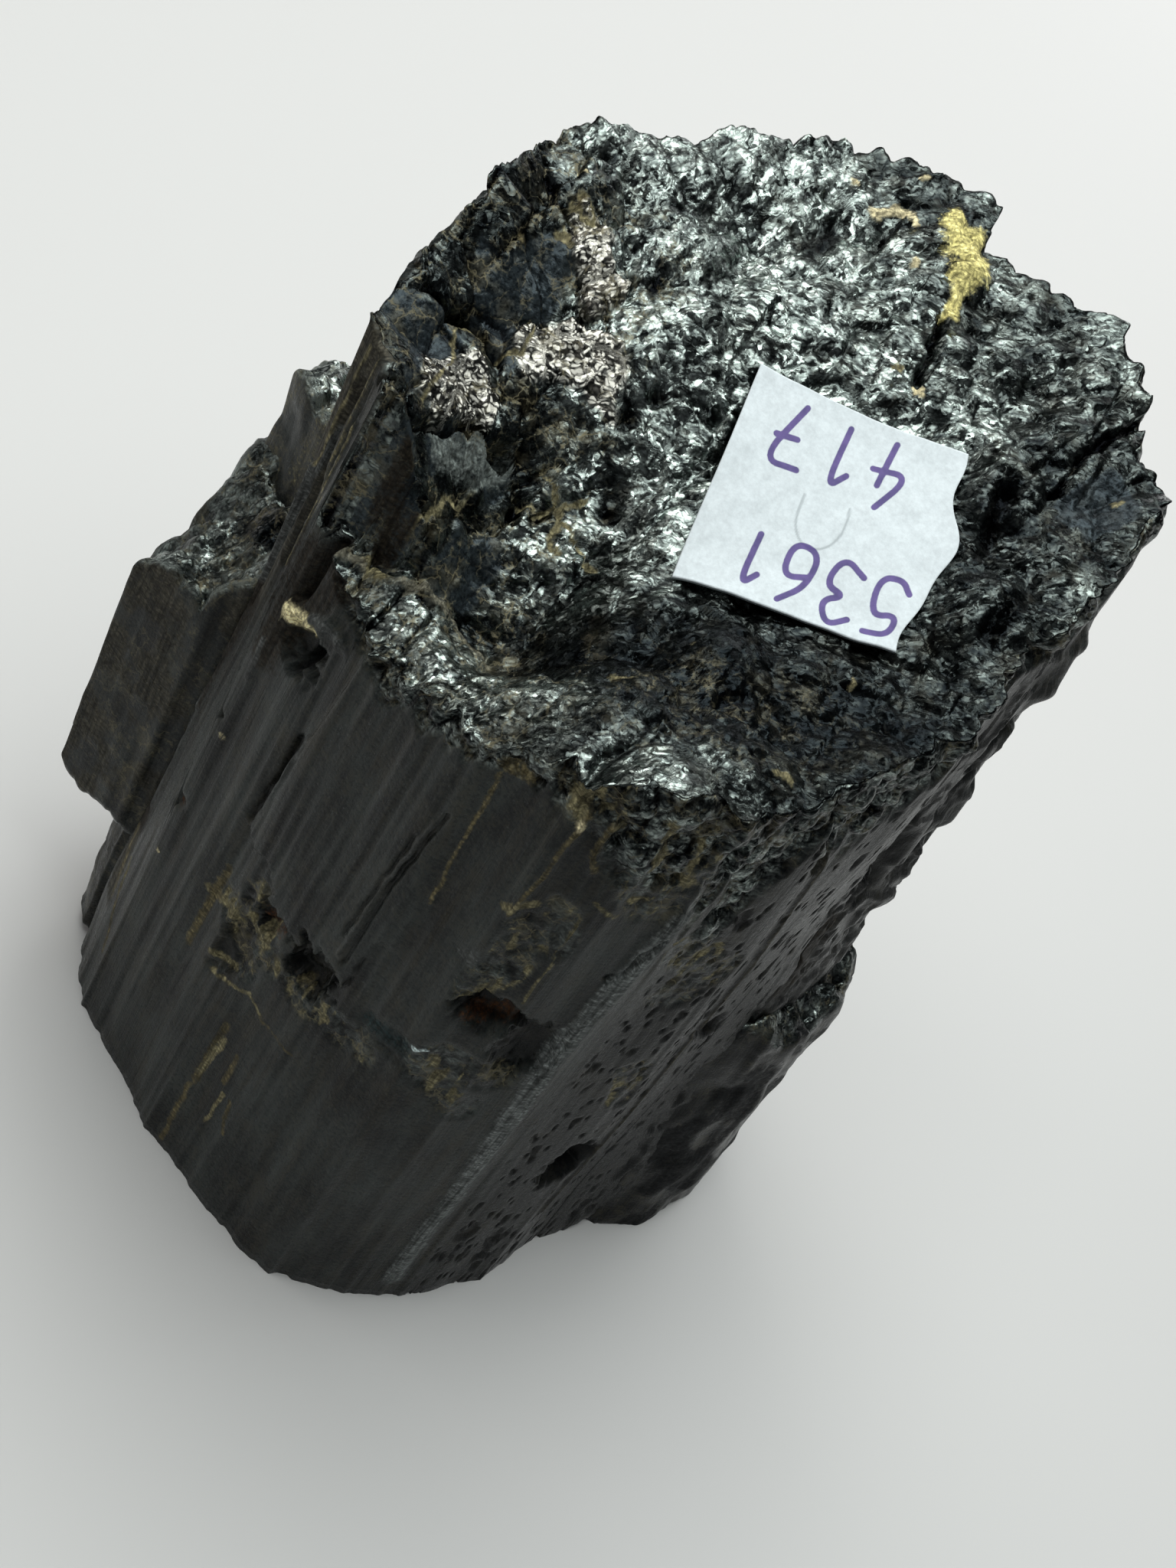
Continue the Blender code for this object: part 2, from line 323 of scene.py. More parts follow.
# How far each point lies within the listed spots, as nearness goes from low to high
def inSpots(points, spots, low, high):
    share = np.zeros(points.shape[:-1])
    for radius, line in spots:
        share = np.maximum(share, smoothStep(low, high, nearLine(points, line, radius)))
    return share


# Points pushed aside by noise, so that marks on them get ragged edges
def bent(points, size, far, seed):
    pushed = [lumps(points, size, seed + axis) for axis in range(3)]
    return points + far * np.stack(pushed, axis=-1)


# The shape that the solids have too

crystal = {
    "outlineTop": 90,
    # each ridge's place at the base and at the height outlineTop
    "ridges": {
        "left rib": ((-28.2, -15.4), (-27.6, -15.4)),
        "left groove": ((-26.2, -18), (-25.4, -17.4)),
        "front left": ((-24, -20.5), (-23.6, -20.2)),
        "front fluted": ((-18.2, -24.2), (-18, -24)),
        "front middle": ((-10.6, -28.1), (-10.4, -27.9)),
        "front broad": ((-1.6, -32), (-2, -31.2)),
        "front corner": ((7.1, -33.8), (5.5, -33.2)),
        "front bevel": ((12, -31.8), (11, -32)),
        "grey rib": ((17.4, -28.8), (17.4, -28)),
        "grey groove": ((20.2, -25.8), (19, -24.6)),
        "front right": ((25.6, -20.8), (23.8, -17.5)),
        "right ridge": ((27.6, -12.6), (27.8, -9.5)),
        "right front": ((35, -4), (28.6, -1.5)),
        "right middle": ((38.2, 6), (31.4, 6)),
        "right lobe": ((37, 17), (32.6, 16.5)),
        "right groove": ((31, 21), (28.4, 20.5)),
        "right back": ((30, 25), (26.4, 24)),
        "back right": ((23, 28.5), (21, 27.8)),
        "back notch": ((9, 28.5), (7.5, 27.6)),
        "back step": ((7, 32), (6.4, 31)),
        "back middle": ((-5, 31), (-3.2, 29.7)),
        "back left": ((-14, 26), (-11, 24.8)),
        "left back": ((-23, 18), (-18, 18.5)),
        "left far": ((-29, 9), (-25.7, 9.7)),
        "left middle": ((-31, -1), (-27.8, 1.5)),
        "left near": ((-31, -10), (-28.6, -8)),
    },
    "frontHeight": 86,
    "breakY": -9.5,
    "breakBend": 3,
    "backSlope": 0.43,
    "hollowX": 9,
    "hollow": 0.006,
    "dip": (-9, -20),
    "dipSpread": (6.5, 8),
    "dipDepth": 12,
    "stepY": -19.7,
    "stepHeight": 78.3,
    "stepSlope": 0.52,
    "stepRiseX": -12,
    "stepRise": 0.8,
    "stepRiseBend": 2,
    "stepBlend": 1.5,
    "stepEdge": 0.35,
    # pits broken into the walls: place, radius across, half of the height, and depth
    "pits": (
        ((-5.1, -30.2, 41), 3, 3.5, 1.8),
        ((-10.9, -27.6, 41), 1.6, 2, 1),
        ((-12.5, -26.5, 33), 2, 5, 0.8),
        ((9.5, -32.7, 54.5), 2.8, 2.2, 1.5),
        ((14, -30.8, 50), 2.5, 4, 1.2),
        ((-20, -22.7, 67), 2.6, 2.4, 1.4),
        ((30, -2.6, 66), 2, 4.5, 1.8),
        ((24.4, -20.4, 26), 2.6, 3.5, 1.8),
        ((26.7, -13.4, 46), 1.2, 1.5, 0.9),
        ((-27.5, 6, 60), 3, 6, 1.6),
        ((10, 29, 40), 4, 7, 1.8),
        ((-16, 22, 25), 3, 5, 1.5),
    ),
    "topCells": 280,  # along each side of the square that is laid over the broken top
    "wallRows": 190,
    "rowsCloser": 0.82,  # under 1, the rows lie closer together towards the rim
    # each piece of wall, with the ridges that it runs between, counted from the left rib
    "wallPieces": (("front_walls", 0, 11), ("right_walls", 11, 16), ("back_walls", 16, 26)),
}

label = {
    "middle": (8.4, -0.5),
    "width": 18.3,
    "length": 17.8,
    "turn": 13,
    "rise": 0.85,
    "thickness": 0.3,
    "gap": 0.4,
    "bulge": 1.7,
    "curl": 0.15,
    # waves of the sheet: height, size and seed
    "waves": ((0.25, 7, 60), (0.08, 2, 61)),
    "cells": 150,
}


# Height of the broken top without its roughness: a front strip and a slope up to the back, less a dip,
# with a lower step in front of the dip
def topForm(x, y):
    form = crystal
    strip = form["frontHeight"] + form["hollow"] * (x - form["hollowX"]) ** 2
    slope = strip + form["backSlope"] * ramp(y - form["breakY"], form["breakBend"])
    (dipX, dipY), (spreadX, spreadY) = form["dip"], form["dipSpread"]
    away = ((x - dipX) / spreadX) ** 2 + ((y - dipY) / spreadY) ** 2
    upper = slope - form["dipDepth"] * np.exp(-0.5 * away)
    step = form["stepHeight"] + form["stepSlope"] * (y - form["stepY"])
    step = step + form["stepRise"] * ramp(x - form["stepRiseX"], form["stepRiseBend"])
    lower = softMinimum(upper, step, form["stepBlend"])
    inFront = smoothStep(form["stepY"] + form["stepEdge"], form["stepY"] - form["stepEdge"], y)
    return upper + (lower - upper) * inFront


# Places on the label's own axes, from -1 to 1 inside it
def labelPlace(x, y):
    turn = np.radians(label["turn"])
    fromX = x - label["middle"][0]
    fromY = y - label["middle"][1]
    across = fromX * np.cos(turn) + fromY * np.sin(turn)
    along = fromY * np.cos(turn) - fromX * np.sin(turn)
    return 2 * across / label["width"], 2 * along / label["length"]


# How far round a square's edge, from 0 to 1, each of its points lies
def squareTurn(a, b):
    reach = np.maximum(np.maximum(np.abs(a), np.abs(b)), 1e-9)
    a = a / reach
    b = b / reach
    nearOne = 1 - 1e-6
    beyondFront = np.where(a >= nearOne, b + 3, np.where(b >= nearOne, 5 - a, 7 - b))
    return np.where(b <= -nearOne, a + 1, beyondFront) / 8 % 1


# The turn, from 0 to 1, at which each corner of an outline lies, on one of the given number of columns
def cornerTurns(outlines, columns):
    reached = 0
    for outline in outlines:
        closed = np.vstack([outline, outline[:1]])
        lengths = np.linalg.norm(np.diff(closed, axis=0), axis=1)
        reached = reached + np.concatenate([[0], np.cumsum(lengths)]) / lengths.sum() / len(outlines)
    return np.round(reached * columns) / columns


# Points of an outline at each turn, straight between its corners
def outlinePoints(corners, turns, turn):
    closed = np.vstack([corners, corners[:1]])
    return np.interp(turn, turns, closed[:, 0]), np.interp(turn, turns, closed[:, 1])


baseOutline = np.array([ridge[0] for ridge in crystal["ridges"].values()], float)
topOutline = np.array([ridge[1] for ridge in crystal["ridges"].values()], float)
allColumns = 4 * crystal["topCells"]
ridgeTurns = cornerTurns([baseOutline, topOutline], allColumns)
perimeter = 205  # taken as the distance round the walls, in millimetres


# Section of the main crystal at each height: each ridge goes straight from the base outline to the top one
def mainSection(turn, height):
    baseX, baseY = outlinePoints(baseOutline, ridgeTurns, turn)
    topX, topY = outlinePoints(topOutline, ridgeTurns, turn)
    share = height / crystal["outlineTop"]
    return baseX + (topX - baseX) * share, baseY + (topY - baseY) * share


# The broken surface

broken = {
    "flakeTurn": 28,  # the ripples lie at this angle to x, in degrees
    "backTurn": (58, 8.5, ((-19, 10), (-15, 15), (-10, 21))),  # and turn further near this line
    "flakeStretch": 2.4,
    # cell size, tilt and dome of each kind of grain, in mm and shares
    "lumps": (5, 0.28, 0.25),
    "smallLumps": (2.3, 0.34, 0.12),
    "ripples": (1.1, 0.56, 0.2),
    "crumbs": (1.1, 0.4, 0.4),
    "grit": (0.8, 0.6, 0.5),
    "swell": 0.7,  # height of the broad waves
    "patch": 5.5,  # size of the patches within which the ripples keep one direction
    "block": (4.6, 0.26),  # size and tilt of the blocks of the crumbly left part
    "blockGap": (0.3, 0.4),  # width and depth of the gaps between them
    # the crumbly part lies beyond this stretch of x and in front of this stretch of y, and in a spot with a
    # middle, two radii between which it fades out, and a share
    "crumblyX": (-13, -15.5),
    "crumblyY": (13, 9),
    "crumblySpot": ((27, 13.5), (6, 4), 0.4),
    # the granular front strip: half width and its middle line
    "strip": (5.5, ((-20, -22), (-10, -23.5), (0, -24), (11, -22), (22, -13))),
    # marks seen in plan: kind, half width, rise, and the line or the spot
    "marks": (
        ("tan", 0.3, 0, ((-23.6, -7.8), (-22.8, -9.3), (-21.6, -11.1), (-22.1, -13.4), (-21.6, -15.9))),
        ("tan", 0.25, 0, ((-23.1, -7.9), (-21.8, -7.4), (-20.4, -7.7))),
        ("tan", 0.25, -0.2, ((-19.3, -7), (-18.1, -4.6), (-18.7, -3.3))),
        ("tan", 0.25, -0.2, ((-13.5, -10.2), (-12.2, -10.6), (-9.8, -10.1), (-8.6, -10.4), (-6, -11.2),
                             (-4, -11.8))),
        ("tan", 0.2, -0.2, ((-12.1, -8), (-10.6, -9), (-8.6, -10.4))),
        ("tan", 0.3, -0.2, ((-14.2, -11.9), (-15.5, -14.6), (-16.3, -18.1), (-16.6, -19.5))),
        ("tan", 0.35, -0.3, ((-22, 4.1), (-20.8, 3.8), (-19.4, 4.6), (-20.3, 5.4), (-21.9, 4.9))),
        ("tan", 0.4, -0.3, ((-21.7, 1.8), (-20.2, 2.4))),
        ("tan", 0.3, -0.2, ((-7.4, -8.6), (-8.8, -9.8), (-8.2, -11.4), (-7, -12.2))),
        ("brown", 0.6, 0, ((-20.3, -19.4), (-18.9, -19.6), (-17.1, -19.8))),
        ("sand", 0.5, 0.5, ((-21.5, -21.6), (-19.3, -21.1), (-16.5, -21.2), (-13.7, -20.8))),
        ("sand", 0.4, 0.3, ((-13.7, -20.8), (-10.4, -20), (-6.7, -20.9))),
        ("tan", 0.5, 0.2, ((-18.5, -20.7), (-17, -21.2))),
        ("dark", 0.35, -1.2, ((-23.9, -18.6), (-23.3, -19.5), (-22.4, -21))),
        ("ochre", 0.45, 0, ((-23.4, -0.6),)),
        ("ochre", 0.5, 0, ((-21.3, 4.7),)),
        ("cream", 0.35, 0.1, ((-22.8, 6.3),)),
        ("slate", 1.4, 0, ((-18.8, -15.6), (-16.7, -13.2), (-14.2, -11.2))),
        ("dark", 0.5, -2.0, ((-26.4, -9.2), (-24.7, -8.7), (-23.7, -7.7), (-22.2, -6.5), (-20.7, -7.0),
                             (-19.4, -6.9))),
        ("dark", 0.32, -1.8, ((-20.9, -17.1), (-18.6, -12.8), (-17.1, -11.3), (-15.8, -11.4), (-15, -10.9))),
        ("dark", 0.5, -1.6, ((-15.6, -11.2), (-14.3, -10.7))),
        ("dark", 0.28, -1.1, ((-15, -10.9), (-13.8, -10.4), (-11.8, -10.4), (-11.2, -12.4))),
        ("dark", 0.28, -0.9, ((-24.9, -17.5), (-22.8, -17.4), (-21.2, -17.3))),
        ("dark", 1.0, -0.9, ((-10.3, -10.6),)),
        ("dark", 1.2, -0.96, ((-5.7, -7.6),)),
        ("dark", 0.8, -0.66, ((-13.5, -8.9),)),
        ("dark", 0.7, -0.54, ((-16.5, -0.6),)),
        ("dark", 0.8, -0.66, ((-12.6, 5.1),)),
        ("dark", 0.9, -0.36, ((-12, 7.7),)),
        ("dark", 0.8, -0.54, ((-7.3, -0.5),)),
        ("dark", 0.8, -0.54, ((-8.6, -4.2), (-9.7, -2.6))),
        ("dark", 1.3, -0.54, ((-4.6, 17.4), (-4, 20.4))),
        ("dark", 0.7, -0.48, ((-6.4, 22.7),)),
        ("dark", 0.8, -0.48, ((0.6, 10.4),)),
        ("dark", 0.8, -0.54, ((-8.5, 26),)),
        ("dark", 0.3, -1.2, ((7.3, 19.6), (8.1, 17), (8.7, 14.1))),
        ("dark", 1.1, -0.54, ((19.8, 9.6), (20.6, 6))),
        ("dark", 0.9, -0.48, ((24.6, -2), (25.6, 1.9))),
        ("dark", 0.35, -1.0, ((25.9, 21.6), (24.7, 18.6), (23.5, 14.8), (22.7, 11.1))),
        ("tan", 0.3, 0.1, ((28.3, 14.2), (27.4, 13.4))),
        ("yellow", 1.5, 0.35, ((3.9, 26.7), (5.4, 26.4))),
        ("yellow", 1.9, 0.4, ((5, 25.6), (6.9, 24.8))),
        ("yellow", 1.5, 0.35, ((7.4, 24.6), (7.3, 22.6))),
        ("yellow", 0.75, 0.25, ((7.3, 21.6), (7.6, 20.2))),
        ("cream", 0.4, 0.2, ((-2.4, 23.6), (-0.8, 24.8), (0.8, 25.2))),
        ("cream", 0.55, 0.2, ((3, 21.8),)),
        ("cream", 0.5, 0.2, ((-0.9, 27.9),)),
        ("cream", 0.35, 0.2, ((-5.2, 24),)),
        ("tan", 0.65, 0.2, ((6.9, 13),)),
        ("cream", 0.6, 0.3, ((9.3, 12.7), (9.6, 12.2))),
        ("tan", 0.35, 0, ((6.1, -16.4),)),
        ("tan", 0.4, 0, ((17.9, -11),)),
        ("tan", 0.45, 0, ((17.3, -22.3), (16.6, -22.8))),
        ("tan", 0.35, 0, ((2.2, -22.6), (3.4, -22.2))),
    ),
    # smooth plates: radius and the line or the spot that each surrounds
    "plates": (
        (2.2, ((-22.5, -3.6), (-20.4, -1))),
        (1.7, ((-19.6, -5),)),
        (2.2, ((-26.2, -12), (-23.6, -11))),
        (1.4, ((-22.6, -14.6),)),
        (1.6, ((-18.6, -15.6), (-16.7, -13.2), (-14.2, -11.2))),
        (1.8, ((-11.5, -15.5), (-12.5, -18))),
        (0.7, ((-20.3, -19.4), (-18.9, -19.6), (-17.1, -19.8))),
        (2.2, ((26.8, 11), (27.8, 13.6))),
    ),
    # warm glinting spots, whose pale flecks are painted glints: radius and the line that each surrounds
    "warm": (
        (2.0, ((-20.8, -13.6), (-19.2, -10.6))),
        (2.2, ((-17, -4.1), (-14.4, -3), (-11.4, -2.8))),
        (1.7, ((-19.5, 3.2), (-18.3, 2.1), (-16.4, 2.3))),
    ),
    # how much the flakes shine, a painted highlight where added and painted shade where taken: share to add
    # or take, radius and the line or the spot it surrounds
    "shine": (
        (0.7, 8, ((-18, 10), (-14, 14), (-9, 19))),
        (0.3, 5, ((-6, 21), (0, 18))),
        (0.5, 7, ((-8, 2), (2, 11))),
        (0.45, 5, ((-7, -6), (-3, -11))),
        (0.35, 5, ((6, 12), (14, 13))),
        (1.0, 2.6, ((-20.8, -13.6), (-19.2, -10.6))),
        (1.0, 2.8, ((-17, -4.1), (-14.4, -3), (-11.4, -2.8))),
        (0.9, 2.2, ((-19.5, 3.2), (-18.3, 2.1), (-16.4, 2.3))),
        (0.55, 3, ((-14.4, -22.5), (-10.3, -24.7), (-4.9, -25.5), (0, -25.4))),
        (-0.3, 5, ((-22, -3), (-21, 2))),
        (-0.9, 8, ((3, -20), (22, -15))),
        (0.2, 3, ((-20, -22), (-12, -21.5))),
        (-0.15, 7, ((12, 23), (22, 18))),
        (-0.35, 7, ((26, -6), (27, 16))),
        (-0.45, 6, ((21, -12), (21, 4))),
        (-0.3, 3, ((-2, 28), (8, 28))),
        (-0.25, 4, ((-18, -17), (-8, -16))),
    ),
    "leastShine": 0.13,
    "shade": (0.12, 6, ((4, -20), (22, -14))),  # painted shade taken off after that limit: share, radius and line
}


# How dull and crumbly, rather than flaky, the break is: the left part is, and a patch of the right lobe
def crumblyShare(x, y):
    wander = 2.5 * lumps(stacked(x, y), 6, 41) + 1.4 * lumps(stacked(x, y), 1.8, 42)
    left = smoothStep(*broken["crumblyX"], x + 0.12 * y + wander)
    left *= smoothStep(*broken["crumblyY"], y + wander)
    (spotX, spotY), fade, share = broken["crumblySpot"]
    return np.maximum(left, share * smoothStep(*fade, np.hypot(x - spotX, y - spotY) + 0.5 * wander))


# How much the flakes shine, from 0 to 1: painted highlight and painted shade by zone over random patches
def shineShare(x, y):
    points = stacked(x, y)
    share = 0.5 + 0.3 * manyLumps(points, 5, 48) - 0.35 * crumblyShare(x, y)
    for more, radius, line in broken["shine"]:
        share += more * nearLine(points, line, radius)
    less, radius, line = broken["shade"]
    return np.clip(share, broken["leastShine"], 1) - less * nearLine(points, line, radius)


# The crunch of the break: tilted flakes laid along the ripples over rounder lumps. It also gives how near
# each point is to a crease, for the painted shade there, and the place along and across the ripples.
def flakes(x, y, seed, calm):
    _, middleX, middleY, own, _ = facetCells(x, y, broken["patch"], 0, seed)
    more, radius, line = broken["backTurn"]
    beyond = more * nearLine(stacked(middleX, middleY), line, radius)
    turn = np.radians(broken["flakeTurn"] + beyond) + 0.7 * (own - 0.5)
    u = (x - middleX) * np.cos(turn) + (y - middleY) * np.sin(turn) + 96 * own
    v = (y - middleY) * np.cos(turn) - (x - middleX) * np.sin(turn) + 70 * own
    lump, lumpGap = grains(x, y, *broken["smallLumps"], seed + 30)
    ripple, rippleGap = grains(u / broken["flakeStretch"], v, *broken["ripples"], seed + 10)
    creaseShade = np.maximum(0.7 * creaseShare(lumpGap, 0.08), 0.5 * calm * creaseShare(rippleGap, 0.05))
    return (0.4 + 0.6 * calm) * lump + calm * (ripple - 0.4), creaseShade, u, v


# The left part's relief: tilted blocks with gaps between them, under crumbs that are lower on plates and at
# the rim. It also gives each block's own number, the painted shade of its creases, and the crumbs.
def blocks(x, y, plates, atRim):
    points = stacked(x, y)
    pushed = bent(points, 2, 0.6, 85)
    block, _, _, own, edge = facetCells(pushed[..., 0], pushed[..., 1], *broken["block"], 80)
    crumb, crumbGap = grains(x, y, *broken["crumbs"], 88)
    width, depth = broken["blockGap"]
    gap = creaseShare(edge, width)
    relief = block - depth * gap + 0.08 * manyLumps(points, (1.6, 1.6, 1), 84)
    relief += crumb * (0.7 - 0.6 * np.maximum(plates, atRim)) - 0.25
    return relief, own, np.maximum(gap, 0.6 * creaseShare(crumbGap, 0.07) * (1 - plates)), crumb


# The whole break at each place in plan: its height, and what the stone's material reads there
def breakSurface(x, y):
    points = stacked(x, y)
    lump, lumpGap = grains(x, y, *broken["lumps"], 11)
    rough = broken["swell"] * lumps(points, 9, 3) + lump - 0.9
    pushed = bent(bent(points, 2.6, 1.2, 95), 0.8, 0.4, 98)
    warm = inSpots(pushed, broken["warm"], 0.2, 0.5)
    plates = inSpots(pushed, broken["plates"], 0.2, 0.5) * (1 - warm)
    crumbly = crumblyShare(x, y) * (1 - 0.8 * warm)
    atRim = nearLine(points, np.vstack([topOutline, topOutline[:1]]), 3)
    atBack = nearLine(points, broken["backTurn"][2], 7)
    strip = nearLine(points, broken["strip"][1], broken["strip"][0])
    calm = 1 - 0.85 * np.maximum(atRim, 0.6 * strip) - 0.5 * atBack
    fine, creaseShade, u, v = flakes(x, y, 50, calm)
    blocky, own, blockCreaseShade, crumb = blocks(x, y, plates, atRim)
    grit, _ = grains(x, y, *broken["grit"], 92)
    granular = fine - 0.4 + strip * (0.9 * grit + 0.5 * crumb - 0.4)
    rough += granular * (1 - crumbly) + blocky * crumbly
    creaseShade = np.maximum(creaseShade, 0.6 * creaseShare(lumpGap, 0.15)) * (1 - crumbly) + crumbly * blockCreaseShade
    pushed = bent(bent(points, 1.5, 0.5, 90), 0.5, 0.18, 94)
    rise, colour, stained, dark = addMarks(pushed, broken["marks"])
    rough += rise
    across, along = labelPlace(x, y)
    beside = np.maximum(np.abs(across), np.abs(along))
    most = label["rise"] - label["gap"]
    rough += (np.minimum(rough, most) - rough) * smoothStep(1.3, 1.0, beside)
    height = topForm(x, y) + rough
    leftSide = smoothStep(-3, -9, x + 0.3 * (y + 12))
    veined = np.maximum(crumbly, leftSide) * smoothStep(11, 7, y)
    return height, {
        "broken": np.ones_like(x),
        "grain": stacked(u, v, height),
        "creaseShade": np.maximum(creaseShade, dark),
        "shine": shineShare(x, y),
        "warm": warm,
        "plates": np.maximum(plates * (0.7 + 0.3 * own), 0.15 * strip * smoothStep(-4, 4, x)),
        "stain": colour,
        "stained": stained,
        "veined": np.maximum(veined, strip * smoothStep(30, -10, x)),
    }


# The height of the break alone
def topHeight(x, y):
    return breakSurface(x, y)[0]


# The walls

